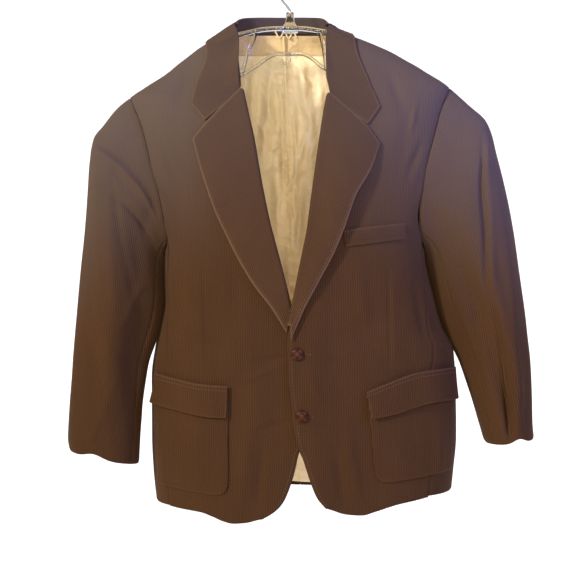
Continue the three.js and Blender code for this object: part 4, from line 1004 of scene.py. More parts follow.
        start = hole_spread * np.where(turn <= np.pi, 1, -1) - across(hole_z)
        spread = across(z) + start * (1 - ease(v[:, None] * 13 / 4))
        angle = np.pi - spread if is_left else spread
        base, normal = even_across(BODY.point(angle, z), BODY.normal(angle, z), self.cols_side, self.gap)
        fold = np.zeros(base.shape[:2])
        face = self.finish_surface(base, normal, fold)
        uv = np.stack([run_across(base) + 400, base[..., 2]], -1) * MM
        return Wall(base + normal * face[..., None], base + normal * (fold - SHELL)[..., None], uv)

    def dress(self) -> None:
        """Places the six panels."""
        cloth = [self.finishes.cord, self.finishes.cord]
        lined = [self.finishes.cord, self.finishes.satin]
        for side in Side:
            who = side.wearer
            place_sheet(f"front_{who}", self.front(side), lined)
            place_sheet(f"side_{who}", self.side_panel(side), cloth)
            place_sheet(f"back_{who}", self.back(side), cloth)


def centre_back(z: np.ndarray) -> np.ndarray:
    """Distance across of the centre back seam at a height."""
    return mix(-13, 15, (BODY.neck_z - z) / 700)


@dataclass
class Sleeves:
    """Two-piece sleeves hung from the armholes."""
    finishes: Finishes
    steps: int = 9
    cols_top: int = 84
    cols_under: int = 56
    left_hind_seam: float = -75
    right_hind_seam: float = -50
    gap: float = 0.55
    seam_dip: float = 0.9
    cuff_wave: float = 7.0

    def hind_seam(self, side: Side) -> float:
        """Angle of the seam behind the arm."""
        return self.left_hind_seam if side is Side.LEFT else self.right_hind_seam

    def point(self, side: Side, k: np.ndarray, phi: np.ndarray) -> np.ndarray:
        """Point of a sleeve at a section and an angle, 0 away from the body and 90 at the front."""
        k, phi = np.broadcast_arrays(np.asarray(k, float), phi)
        is_left = side is Side.LEFT
        rows = LEFT_SLEEVE if is_left else RIGHT_SLEEVE
        table = Track([[i, *row] for i, row in enumerate(rows)])

        def ring(row: np.ndarray) -> np.ndarray:
            ox, oz, ix, iz, half, shift = (row[..., c] for c in range(6))
            return np.stack([
                (ox + ix) / 2 + (ox - ix) / 2 * np.cos(phi), -shift - half * np.sin(phi),
                (oz + iz) / 2 + (oz - iz) / 2 * np.cos(phi)], -1)

        fade = np.interp(k, range(len(ARMHOLE_FADE)), ARMHOLE_FADE)
        turn = np.where(phi < 0, phi + 2 * np.pi, phi)
        hole_z, spread = BODY.armhole(side, turn)
        loop = BODY.point(BODY.side_angle(side, spread, turn <= np.pi), hole_z)
        loop[..., 0] += side.out * 0.1
        first = np.broadcast_to(np.array(rows[0], float), (*k.shape, 6))
        spot = ring(table(k)) + (loop - ring(first)) * fade[..., None]
        lift = self.folds(LEFT_SLEEVE_FOLDS if is_left else RIGHT_SLEEVE_FOLDS, k, phi)
        outward = np.stack([side.out * np.cos(phi), -np.sin(phi), np.zeros(phi.shape)], -1)
        return spot + outward * lift[..., None]

    def folds(self, table: Sequence[Sequence[float]], k: np.ndarray, phi: np.ndarray) -> np.ndarray:
        """Height of the folds in a table at sections and angles."""
        total = np.zeros(k.shape)
        for k0, a0, k1, a1, half, height in table:
            t = (k - k0) / (k1 - k0)
            fade = ease((t + 0.15) / 0.35) * ease((1.15 - t) / 0.35)
            away = (phi / DEG - mix(a0, a1, t) + 540) % 360 - 180
            total = total + height * fade * np.exp(-((away / half) ** 2))
        return total

    def normal(self, side: Side, k: np.ndarray, phi: np.ndarray) -> np.ndarray:
        """Direction out of the sleeve's cloth."""
        last = len(LEFT_SLEEVE if side is Side.LEFT else RIGHT_SLEEVE) - 1
        across = self.point(side, k, phi + 0.06) - self.point(side, k, phi - 0.06)
        down = self.point(side, np.minimum(k + 1, last), phi) - self.point(side, np.maximum(k - 1, 0), phi)
        return side.out * unit(np.cross(across, down))

    def girth(self, side: Side, k: np.ndarray, phi: np.ndarray) -> np.ndarray:
        """Level distance round the sleeve from a line down the middle of its front to each angle."""
        lean, axis_x = (0.085, 263.0) if side is Side.LEFT else (0.19, 286.5)
        turn = np.linspace(-100, 320, 240)[None, :] * DEG
        ring = self.point(side, *np.broadcast_arrays(k, turn))
        step = np.linalg.norm(np.diff(ring[..., :2], axis=1, prepend=ring[:, :1, :2]), axis=-1)
        run = np.cumsum(step, axis=1)
        front = self.point(side, k, np.full(k.shape, np.pi / 2))[:, 0]
        aside = side.out * front[:, 0] - axis_x - lean * (-418 - front[:, 2])
        return np.array([np.interp(p, turn[0], r - np.interp(np.pi / 2, turn[0], r) - a)
                         for p, r, a in zip(phi, run, aside)])

    def wall(self, side: Side, start: float, end: float, cols: int, offset: float) -> Wall:
        """One piece of a sleeve between two angles."""
        last = len(LEFT_SLEEVE if side is Side.LEFT else RIGHT_SLEEVE) - 1
        k = np.concatenate([[0.0, 0.04, 0.1], np.linspace(0.2, last - 0.2, last * self.steps),
                            [last - 0.11, last - 0.06, last - 0.025]])[:, None]
        phi = mix(start, end, np.linspace(0, 1, 2 * cols)[None, :]) * DEG
        k, phi = np.broadcast_arrays(k, phi)
        plain, away = self.point(side, k, phi), self.normal(side, k, phi)
        table = LEFT_SLEEVE_CREASES if side is Side.LEFT else RIGHT_SLEEVE_CREASES
        # Fullness eased into the sleeve head stands in small ripples below the seam
        ripple = 0.3 * np.sin(phi / DEG * 0.42 + np.sin(phi * 5)) * np.exp(-(((k - 0.35) / 0.4) ** 2))
        fold = self.folds(table, k, phi) + ripple
        # The cuff's edge is pulled up where the crease down the arm meets it
        wave = self.cuff_wave * np.exp(-(((phi / DEG - 78) / 20) ** 2)) * ease((k - last + 3) / 3)
        drawn = plain + away * fold[..., None] + np.array([0.0, 0.0, 1.0]) * wave[..., None]
        base, normal = even_across(drawn, away, cols, self.gap)
        distance = edge_distance(base)
        face = -self.seam_dip * np.exp(-((distance / 1.9) ** 2))
        # The wales run down the arm, so the cloth map counts level distance round it
        girth = self.girth(side, k[:, :1], phi)
        there = run_across(drawn)
        here = run_across(base) + self.gap
        across = np.array([np.interp(a, b, c) for a, b, c in zip(here, there, girth)])
        uv = np.stack([across + offset, base[..., 2]], -1) * MM
        return Wall(base + normal * face[..., None], base - normal * SHELL, uv)

    def dress(self) -> None:
        """Places the four sleeve pieces."""
        cloth = [self.finishes.cord, self.finishes.cord]
        for side in Side:
            hind, fore, who = self.hind_seam(side), FOREARM_SEAM[side.value], side.wearer
            top = self.wall(side, hind, fore, self.cols_top, 700 * side.out)
            under = self.wall(side, fore, hind + 360, self.cols_under, 900 * side.out)
            place_sheet(f"sleeve_top_{who}", top, cloth)
            place_sheet(f"sleeve_under_{who}", under, cloth)


@dataclass
class Lapels:
    """Facings that roll out over the chest as notch lapels."""
    finishes: Finishes
    width: float = 62
    gap: float = 2.3
    tuck: float = 0.5
    rows: int = 96
    cols_inside: int = 14
    cols_roll: int = 12
    cols_face: int = 44
    grain_left: float = -22 * DEG
    grain_right: float = 20 * DEG

    def lift(self, side: Side, x: np.ndarray, z: np.ndarray, height: np.ndarray) -> np.ndarray:
        """Point over the front, raised where the fronts overlap."""
        return BODY.on_front(x, z, height + (0 if side is Side.LEFT else overlap_lift(x, z)))

    def grid(self, side: Side, below: float, above: float) -> np.ndarray:
        """One layer of a facing: inside strip, roll and lapel.

        Args:
            side: Which lapel.
            below: Height of the layer inside the front.
            above: Height of the layer over the chest.

        Returns:
            The grid of points, a row for each place down the roll line.
        """
        notch_x, notch_z = (-128, -243) if side is Side.LEFT else (117, -248)
        share = np.concatenate([[0.001, 0.0035, 0.008], np.linspace(0.014, 0.992, self.rows), [0.9965]])[:, None]
        columns = Track(LEFT_LAPEL if side is Side.LEFT else RIGHT_LAPEL)(8 * share[:, 0])
        rx, rz, ex, ez, lift = (columns[:, c][:, None] for c in range(5))
        inside = np.linspace(0.02, 1, self.cols_inside, endpoint=False)[None, :]
        x = rx + side.out * self.width * (1 - 0.45 * share) * (1 - inside)
        strip = self.lift(side, x, rz, below + self.tuck * np.clip(1 - inside * 4, 0, 1))
        middle, radius = (above + below) / 2, (above - below) / 2
        centre = self.lift(side, rx, rz, middle)
        normal = unit(self.lift(side, rx, rz, middle + 1) - centre)
        inward = np.array([-side.out, 0, 0]) + side.out * normal * normal[..., :1]
        inward = unit(inward)
        angle = np.linspace(-np.pi / 2, np.pi / 2, self.cols_roll + 1)[None, :, None]
        roll = centre + normal * radius * np.sin(angle) + inward * (radius * np.cos(angle) + 0.4)
        t = spaced(self.cols_face, 0.012)[None, 1:]
        peak = 0.67
        bend = np.minimum(t / peak, (1 - t) / (1 - peak)) * np.clip(1 - share * 14, 0, 1)
        x = mix(rx, ex, t) + (notch_x - mix(rx, ex, peak)) * bend
        z = mix(rz, ez, t) + (notch_z - mix(rz, ez, peak)) * bend
        face = self.lift(side, x, z, lift * ease(t * 1.3) + above)
        return np.concatenate([strip, roll, face], 1)

    def wall(self, side: Side) -> Wall:
        """A facing with its lapel."""
        under = SHELL + INNER_GAP
        face = self.grid(side, -under - FACING, self.gap + LAPEL)
        hidden = self.grid(side, -under, self.gap)
        distance = edge_distance(face)
        normal = unit(face - hidden)
        face = face - normal * (0.7 * np.exp(-((distance / 1.8) ** 2)))[..., None]
        angle = self.grain_left if side is Side.LEFT else self.grain_right
        across = face[..., 0] * np.cos(angle) + face[..., 2] * np.sin(angle)
        down = face[..., 2] * np.cos(angle) - face[..., 0] * np.sin(angle)
        return Wall(face, hidden, np.stack([across, down], -1) * MM, wear_and_highlight=0.55)

    def dress(self) -> None:
        """Places both facings."""
        cloth = [self.finishes.cord_collar, self.finishes.cord_collar]
        for side in Side:
            who = side.wearer
            place_sheet(f"facing_{who}", self.wall(side), cloth)


@dataclass
class Collar:
    """Stand and fall in one folded piece, rolled over round the neck."""
    finishes: Finishes
    steps: int = 12
    outer_radius: float = 3.4
    inner_radius: float = 1.0
    ridge_gap: float = 1.5
    cols_stand: int = 12
    cols_roll: int = 14
    cols_fall: int = 26

    def wall(self) -> Wall:
        """The collar between its two layers."""
        rows = through(COLLAR, self.steps)
        trim = 0.3
        rows = np.concatenate([mix(rows[:1], rows[1:2], trim), rows[1:-1], mix(rows[-1:], rows[-2:-1], trim)])
        neck, roll, edge = rows[:, None, 0:3], rows[:, None, 3:6], rows[:, None, 6:9]
        bend = unit((neck + edge) / 2 - roll)
        span = unit(edge - neck)
        arch = unit(span - bend * np.sum(span * bend, -1, keepdims=True))
        middle = (self.outer_radius + self.inner_radius) / 2
        centre = roll + bend * self.outer_radius
        stand_end, fall_start = centre - arch * middle, centre + arch * middle
        t = np.linspace(0.03, 1, self.cols_stand, endpoint=False)[None, :, None]
        points = [mix(neck, stand_end, t)]
        normals = [np.broadcast_to(-arch, points[0].shape)]
        angle = np.linspace(0, np.pi, self.cols_roll)[None, :, None]
        outward = -arch * np.cos(angle) - bend * np.sin(angle)
        points.append(centre + outward * middle)
        normals.append(outward)
        t = np.concatenate([np.linspace(0.03, 0.93, self.cols_fall), [0.95, 0.965, 0.978]])[None, :, None]
        points.append(mix(fall_start, edge, t) + arch * 4 * np.sin(np.pi * t))
        normals.append(np.broadcast_to(arch, points[-1].shape))
        point, normal = np.concatenate(points, 1), np.concatenate(normals, 1)
        thickness = self.outer_radius - self.inner_radius
        ridge = self.ridge_gap * np.exp(-((point[..., 1] / 22) ** 2))
        hidden = BODY.clear(point - normal * thickness / 2, LAYER + 0.8 + ridge)
        face = hidden + normal * thickness
        distance = edge_distance(face)
        face = face - normal * (0.6 * np.exp(-((distance / 1.8) ** 2)))[..., None]
        along = np.cumsum(np.linalg.norm(np.diff(face, axis=0, prepend=face[:1]), axis=-1), axis=0)
        along = np.broadcast_to(along[:, -1:], along.shape)
        return Wall(face, hidden, np.stack([along, run_across(face)], -1) * MM, wear_and_highlight=0.35,
                    other_cols=self.cols_stand + self.cols_roll // 3)

    def dress(self) -> None:
        """Places the collar."""
        cloth = [self.finishes.cord_collar, self.finishes.stand]
        place_sheet("collar", self.wall(), cloth)


@dataclass
class Lining:
    """Satin lining of the back with its neck band, as far as it shows."""
    finishes: Finishes
    from_side: float = 34
    split_z: float = -118.9
    hem_above: float = 6
    rows: int = 180
    cols: int = 84
    crinkle: float = 6.5
    pleat: float = 3.8

    def wall(self, side: Side, top: float, low: Callable[[np.ndarray], np.ndarray], rows: int,
             crinkle: float) -> Wall:
        """Lining inside the back, from the centre seam out towards the side."""
        depth = -SHELL - INNER_GAP - 0.8
        edge = BODY.side_angle(side, self.from_side * DEG, False)
        u = np.linspace(0, 1, 2 * self.cols)[None, :]
        v = spaced(rows, 0.0008 if rows > 40 else 0.015)[:, None]
        bottom = low(BODY.point(mix(edge, 1.5 * np.pi, u), np.full(u.shape, -800.0))[..., 0])
        z = mix(top, bottom, v)
        angle = mix(edge, BODY.back_angle(centre_back(z), z), u)
        base, normal = even_across(BODY.point(angle, z), BODY.normal(angle, z), self.cols, 0.5)
        x, z = base[..., 0], base[..., 2]
        # The lining is cut wider than the back, so it stands in folds to the inside
        folds = creases(x, z, LINING_CREASES, 0.1) * crinkle
        ripple = 0.5 + 0.5 * np.sin(z * 0.33 + 1.6 * np.sin(x / 17) + 1.2 * np.sin(z / 23))
        near_seam = np.exp(-(((x - centre_back(z)) / 17) ** 2))
        folds = folds + 0.5 * crinkle * ripple * near_seam * ease((z + 640) / 80)
        # An ease pleat stands beside the centre seam, on the viewer's right of it
        if side is Side.RIGHT:
            folds = folds + self.pleat * np.exp(-(((x - centre_back(z) - 3) / 3.2) ** 2)) * ease((z + 480) / 120)
        out = depth - np.clip(folds, 0, None)
        uv = np.stack([x, z], -1) * MM
        return Wall(base + normal * out[..., None], base + normal * (out - LINING)[..., None], uv)

    def dress(self) -> None:
        """Places the lining and the neck band of both sides."""
        satin = [self.finishes.satin, self.finishes.satin]
        # The neck band takes the darker copy of the satin, as painted shade
        shaded_band = [self.finishes.satin_band, self.finishes.satin_band]
        hem = Track(BACK_HEM)
        for side in Side:
            who = side.wearer
            back = self.wall(side, -119.2, lambda x: hem(x)[..., 0] + self.hem_above, self.rows, self.crinkle)
            band = self.wall(side, -87.2, lambda x: np.full(x.shape, self.split_z), 14, 0.0)
            place_sheet(f"lining_back_{who}", back, satin)
            place_sheet(f"lining_neck_{who}", band, shaded_band)


# Folds of the lining: from x, z to x, z, half width, share of the height
LINING_CREASES = [
    [-30, -130, -46, -300, 9, 1.2], [18, -124, 30, -236, 8, 1.3], [30, -236, 4, -330, 6, 1.4],
    [-14, -150, -10, -420, 3.5, 0.9], [6, -150, 12, -420, 3.0, 0.8], [36, -180, 34, -330, 7, 1.2],
    [-44, -180, -20, -250, 6, 1.1], [-2, -330, 28, -300, 5, 1.2], [10, -400, -6, -360, 5, 1.1],
    [-24, -300, -18, -440, 7, 1.1], [22, -330, 10, -460, 5, 1.3], [-4, -430, 2, -560, 6, 0.9],
    [-60, -130, -66, -260, 9, 0.9], [48, -130, 52, -240, 8, 0.9], [0, -700, 30, -800, 9, 1.0],
    [34, -690, 44, -800, 8, 0.9], [-16, -300, 8, -290, 3.5, 1.0], [-14, -316, 8, -306, 3, 0.9],
    # short sharp ones, where the lining was crushed
    [-23, -158, -15, -196, 3.2, 0.7], [-1, -184, 12, -279, 2.8, 0.8], [8, -321, -14, -349, 3.4, 0.9],
    [-14, -349, -23, -374, 3.4, 0.7], [28, -308, 47, -286, 4, 0.9], [50, -248, 28, -298, 4.5, 0.8],
    [-7, -342, 2, -384, 2.8, 0.7], [8, -349, 22, -406, 2.8, 0.8], [-52, -228, -39, -260, 3.6, 0.7],
    [20, -150, 34, -172, 3.2, 0.6], [24, -210, 40, -228, 3.2, 0.6], [-30, -282, -12, -268, 3, 0.6],
]


@dataclass
class Pockets:
    """Patch pockets with flaps, and the breast welt."""
    finishes: Finishes
    corner: float = 26
    cols: int = 64
    rows: int = 60

    def bottom_edge(self, corners: Sequence[Sequence[float]], rounded: Side) -> np.ndarray:
        """Lower edge of a pocket, whose corner away from the side seam is cut round."""
        top_left, top_right, low_right, low_left = (np.array(p, float) for p in corners)
        if rounded is Side.RIGHT:
            point, up, other = low_right, top_right, low_left
        else:
            point, up, other = low_left, top_left, low_right
        start = point + unit(other - point) * self.corner
        end = point + unit(up - point) * self.corner
        t = np.linspace(0, 1, 26)[:, None]
        arc = (1 - t) ** 2 * start + 2 * t * (1 - t) * point + t ** 2 * end
        straight = mix(other, start, np.linspace(0, 1, 40, endpoint=False)[:, None])
        edge = np.concatenate([straight, arc])
        return edge if rounded is Side.RIGHT else edge[::-1]

    def wall(self, top: np.ndarray, bottom: np.ndarray, out: float, swell: float, cols: int,
             rows: int, lift: float = 0.0) -> Wall:
        """A piece that lies on the front, between its top and bottom edges.

        Args:
            top: Points x, z along the top, as many as along the bottom.
            bottom: Points x, z along the bottom.
            out: Gap between the piece and the cloth below.
            swell: How far its middle stands out.
            cols: Columns across.
            rows: Rows down.
            lift: How far its lower edge stands off.

        Returns:
            The closed piece.
        """
        length = np.concatenate([[0], np.cumsum(np.hypot(*np.diff(bottom, axis=0).T))])
        share = length / length[-1]
        u = spaced(cols, 0.009)
        x0, z0 = np.interp(u, share, top[:, 0]), np.interp(u, share, top[:, 1])
        x1, z1 = np.interp(u, share, bottom[:, 0]), np.interp(u, share, bottom[:, 1])
        v = spaced(rows, 0.011 if rows > 30 else 0.025)[:, None]
        x, z = mix(x0, x1, v), mix(z0, z1, v)
        bulge = swell * (np.sin(np.pi * v) * np.sin(np.pi * u[None, :])) ** 0.7
        bulge = bulge + lift * v ** 2 * (0.75 + 0.25 * np.cos(9 * u[None, :]))
        hidden = BODY.on_front(x, z, out + bulge)
        face = BODY.on_front(x, z, out + bulge + PATCH)
        distance = edge_distance(face)
        normal = unit(face - hidden)
        # The edge is pressed thin, and the row of stitches 6 mm inside it draws the cloth down
        press = 0.6 * np.exp(-((distance / 1.8) ** 2)) + 0.5 * np.exp(-(((distance - 6) / 1.3) ** 2))
        face = face - normal * press[..., None]
        return Wall(face, hidden, np.stack([x, z], -1) * MM, wear_and_highlight=0.12)

    def dress(self) -> None:
        """Places pockets, flaps and welt."""
        cloth = [self.finishes.cord, self.finishes.cord]
        for side in Side:
            who = side.wearer
            corners, top, bottom = POCKET_SIZES[side.value]
            edge = self.bottom_edge(corners, Side.RIGHT if side is Side.LEFT else Side.LEFT)
            t = ((edge[:, 0] - edge[0, 0]) / (edge[-1, 0] - edge[0, 0]))[:, None]
            upper = mix(np.array(corners[0], float), np.array(corners[1], float), t)
            pocket = self.wall(upper, edge, LAYER, 1.2, self.cols, self.rows)
            place_sheet(f"pocket_{who}", pocket, cloth)
            flap = self.wall(through(top, 12), through(bottom, 12), LAYER * 2 + PATCH + 1.2, 0.8, self.cols, 30, 4.0)
            place_sheet(f"flap_{who}", flap, cloth)
        welt = self.wall(through(WELT_TOP, 12), through(WELT_BOTTOM, 12), LAYER, 0.3, 48, 20)
        place_sheet("breast_welt", welt, cloth)


# Pocket corners clockwise from the top left, top and bottom edge of its flap, in x and z
POCKET_SIZES = {
    "left": (
        [[-206, -640], [-94, -646], [-95, -818], [-208, -804]],
        [[-206, -629], [-170, -635], [-137, -641], [-93, -643]],
        [[-213, -677], [-161, -687], [-130, -692], [-95, -694]],
    ),
    "right": (
        [[118, -656], [255, -631], [253, -783], [132, -797]],
        [[115, -652], [142, -641], [193, -624], [256, -620]],
        [[122, -694], [160, -688], [210, -674], [259, -672]],
    ),
}
WELT_TOP = [[80.5, -407], [128, -401], [176, -396]]
WELT_BOTTOM = [[84, -433], [131, -427], [178, -421]]


@dataclass
class Buttons:
    """Woven leather buttons: two down the front and one on each cuff."""
    finishes: Finishes
    sleeves: Sleeves
    radius: float = 9.5
    height: float = 5.4
    cuff_radius: float = 7.5
    strands: float = 1.05
    count: int = 52

    def wall(self, centre: np.ndarray, axis: np.ndarray, radius: float, height: float,
             turn: float) -> tuple[Wall, np.ndarray]:
        """A domed knot of interlaced strands.

        Args:
            centre: Middle of its back.
            axis: Direction that it faces.
            radius: Half its width.
            height: Its height.
            turn: How far the weave is turned.

        Returns:
            The closed dome and how deep each point of its face lies in the weave.
        """
        axis = unit(axis)
        right = unit(np.cross(axis, [0.0, 0.0, 1.0]))
        up = np.cross(right, axis)
        a, b = np.meshgrid(np.linspace(-1, 1, self.count), np.linspace(-1, 1, self.count))
        x, y = a * np.sqrt(1 - b * b / 2), b * np.sqrt(1 - a * a / 2)
        far = np.hypot(x, y)
        p = (x * np.cos(turn) + y * np.sin(turn)) * self.strands + 0.5
        q = (y * np.cos(turn) - x * np.sin(turn)) * self.strands + 0.5
        over = (np.floor(p) + np.floor(q)) % 2 < 1
        fp, fq = p - np.floor(p) - 0.5, q - np.floor(q) - 0.5
        across = np.where(over, fq, fp)
        along = np.where(over, fp, fq)
        strand = np.sqrt(np.clip(1 - (2.05 * across) ** 2, 0, 1)) * (0.45 + 0.55 * np.cos(np.pi * along))
        dome = np.sqrt(np.clip(1 - (far * 0.93) ** 2.4, 0, 1))
        top = height * (0.2 + 0.62 * dome) + 0.2 * height * strand * (1 - far ** 6)
        spot = centre + 0.97 * radius * (x[..., None] * right + y[..., None] * up)
        face = spot + axis * top[..., None]
        base = centre + 0.8 * radius * (x[..., None] * right + y[..., None] * up)
        uv = np.stack([x, y], -1) * radius * MM
        return Wall(face, base + axis * 0.05, uv), 1 - strand

    def dress(self) -> None:
        """Places the four buttons."""
        spots = []
        for name, x, z, turn in (("button_upper", 11.0, -595.0, 0.8), ("button_lower", 18.0, -689.0, 0.7)):
            out = float(overlap_lift(x, z)) + 0.4
            centre = BODY.on_front(x, z, out)
            spots.append((name, centre, BODY.on_front(x, z, out + 1) - centre, self.radius, self.height, turn))
        for name, side, k in (("cuff_button_left", Side.RIGHT, 13.0), ("cuff_button_right", Side.LEFT, 12.0)):
            phi = (self.sleeves.hind_seam(side) + 9) * DEG
            axis = self.sleeves.normal(side, k, phi)
            centre = self.sleeves.point(side, k, phi) + axis * 0.4
            spots.append((name, centre, axis, self.cuff_radius, 4.4, 0.8))
        for name, centre, axis, radius, height, turn in spots:
            wall, depth = self.wall(centre, axis, radius, height, turn)
            mesh = wall.mesh(f"{name}_knot")
            # The attribute gets the depth in the weave, which the leather paints as shade
            values = np.ones(len(mesh.vertices), np.float32)
            values[:depth.size] = np.clip(depth.ravel() * 1.1 - 0.1, 0, 1)
            mesh.attributes["wear_and_painted_light"].data.foreach_set("value", values)
            place(f"{name}_knot", mesh, [self.finishes.leather, self.finishes.leather], [name])


def tube(points: np.ndarray, radius: float, sides: int) -> tuple[np.ndarray, np.ndarray]:
    """A closed round bar along a line of points.

    Args:
        points: The line that its middle follows.
        radius: Half its thickness.
        sides: Faces round it.

    Returns:
        Its points and quads, with a small rounding at both ends.
    """
    tangent = unit(np.gradient(points, axis=0))
    side = unit(np.cross(tangent[0], [0.0, 1.0, 0.02]))
    rings, sizes = [], np.full(len(points), radius)
    line = np.concatenate([points[:1] - tangent[:1] * radius * 0.35, points[:1], points[1:-1], points[-1:],
                           points[-1:] + tangent[-1:] * radius * 0.35])
    ways = np.concatenate([tangent[:1], tangent, tangent[-1:]])
    sizes = np.concatenate([[radius * 0.65], sizes, [radius * 0.65]])
    angle = np.linspace(0, 2 * np.pi, sides, endpoint=False)[:, None]
    for spot, way, size in zip(line, ways, sizes):
        side = unit(side - way * np.dot(side, way))
        other = np.cross(way, side)
        rings.append(spot + size * (np.cos(angle) * side + np.sin(angle) * other))
    count = len(rings)
    verts = np.concatenate([*rings, line[:1] - ways[:1] * 0.01, line[-1:] + ways[-1:] * 0.01])
    start, end = count * sides, count * sides + 1
    quads = []
    ring = np.arange(sides)
    after = (ring + 1) % sides
    for k in range(count - 1):
        quads.append(np.stack([k * sides + ring, k * sides + after, (k + 1) * sides + after, (k + 1) * sides + ring], -1))
    faces = [tuple(f) for f in np.concatenate(quads).tolist()]
    faces += [(start, int(b), int(a)) for a, b in zip(ring, after)]
    base = (count - 1) * sides
    faces += [(end, int(base + a), int(base + b)) for a, b in zip(ring, after)]
    return verts, faces


def solid_of(name: str, parts: Sequence[tuple[np.ndarray, list]]) -> bpy.types.Mesh:
    """One smooth mesh of several closed parts, with their faces outwards."""
    verts, faces, shift = [], [], 0
    for points, quads in parts:
        volume = 0.0
        for face in quads:
            p = points[list(face)]
            for k in range(1, len(face) - 1):
                volume += float(np.dot(p[0], np.cross(p[k], p[k + 1])))
        step = 1 if volume > 0 else -1
        faces += [tuple(int(v) + shift for v in face[::step]) for face in quads]
        verts.append(points)
        shift += len(points)
    mesh = bpy.data.meshes.new(name)
    mesh.from_pydata((np.concatenate(verts) * MM).tolist(), [], faces)
    mesh.polygons.foreach_set("use_smooth", np.ones(len(faces), bool))
    mesh.update()
    return mesh


@dataclass
class Hanger:
    """Clear moulded hanger with its wire hook, and the tape loop at the neck."""
    finishes: Finishes
    bar_radius: float = 4
    rail_radius: float = 3
    j_radius: float = 2
    arm_rest: float = 7.0
    hook_radius: float = 21.75
    wire_radius: float = 1.75
    neck_top_z: float = -62
    base_z: float = -94
    tape_radius: float = 1.3

    def shoulder_at(self, x: float) -> float:
        """Height of the shoulder seam at a distance across."""
        side = Side.LEFT if x < 0 else Side.RIGHT
        track = BODY.left if x < 0 else BODY.right
        low, high = BODY.shoulder_z(side), BODY.neck_z
        for _ in range(30):
            z = (low + high) / 2
            if abs(track(z)[0]) > abs(x):
                low = z
            else:
                high = z
        return (low + high) / 2

    def under(self, x: float) -> list[float]:
        """Point of the arm that lies just under the shoulder seam."""
        slope = (self.shoulder_at(x + 2) - self.shoulder_at(x - 2)) / 4
        return [x, 0, self.shoulder_at(x) - self.arm_rest * np.hypot(1, slope)]

    def neck(self) -> tuple[np.ndarray, list]:
        """The moulded neck that grips the hook."""
        profile = [[13, self.base_z], [13, -86], [10, -81], [7, -76], [6, self.neck_top_z]]
        sides = 40
        angle = np.linspace(0, 2 * np.pi, sides, endpoint=False)
        rings = [np.stack([r * np.cos(angle), r * np.sin(angle), np.full(sides, z)], -1) for r, z in profile]
        points = np.concatenate([*rings, [[0, 0, self.base_z], [0, 0, self.neck_top_z]]])
        ring = np.arange(sides)
        after = (ring + 1) % sides
        faces = []
        for k in range(len(profile) - 1):
            faces += np.stack([k * sides + ring, k * sides + after, (k + 1) * sides + after, (k + 1) * sides + ring],
                              -1).tolist()
        start, top = len(profile) * sides, (len(profile) - 1) * sides
        faces += [(start, int(b), int(a)) for a, b in zip(ring, after)]
        faces += [(start + 1, int(top + a), int(top + b)) for a, b in zip(ring, after)]
        return points, faces

    def dress(self) -> None:
        """Places the frame, the hook and the tape loop."""
        arms = [self.under(x) for x in ARM_STATIONS_LEFT] + [[x, 0, z] for x, z in ARM_MIDDLE]
        arms += [self.under(x) for x in ARM_STATIONS_RIGHT]
        parts = [self.neck(), tube(through(arms, 6), self.bar_radius, 20),
                 tube(through(HANGER_RAIL, 6), self.rail_radius, 18), tube(through(HANGER_J, 6), self.j_radius, 14)]
        parts += [tube(through(strut, 8), self.rail_radius, 18) for strut in HANGER_STRUTS]
        place("hanger_moulding", solid_of("hanger_moulding", parts), [self.finishes.clear],
              ["hanger_frame"])
        reach = self.hook_radius + self.wire_radius
        angles = np.linspace(232, -8, 13) * DEG
        arc = [[reach * np.cos(a), 0, -self.hook_radius + reach * np.sin(a)] for a in angles]
        line = through([[0, 0, self.neck_top_z + 0.4], [-1, 0, self.neck_top_z + 5], *arc], 6)
        place("hook_wire", solid_of("hook_wire", [tube(line, self.wire_radius, 16)]), [self.finishes.steel],
              ["hanger_hook"])
        y = BODY.point(BODY.back_angle(-6.0, -95.0), np.array(-95.0))[1] - SHELL - INNER_GAP - LINING - 5
        loop = tube(through([[x, y, z] for x, z in HANG_LOOP], 10), self.tape_radius, 12)
        place("hang_loop_tape", solid_of("hang_loop_tape", [loop]), [self.finishes.tape], ["hang_loop"])


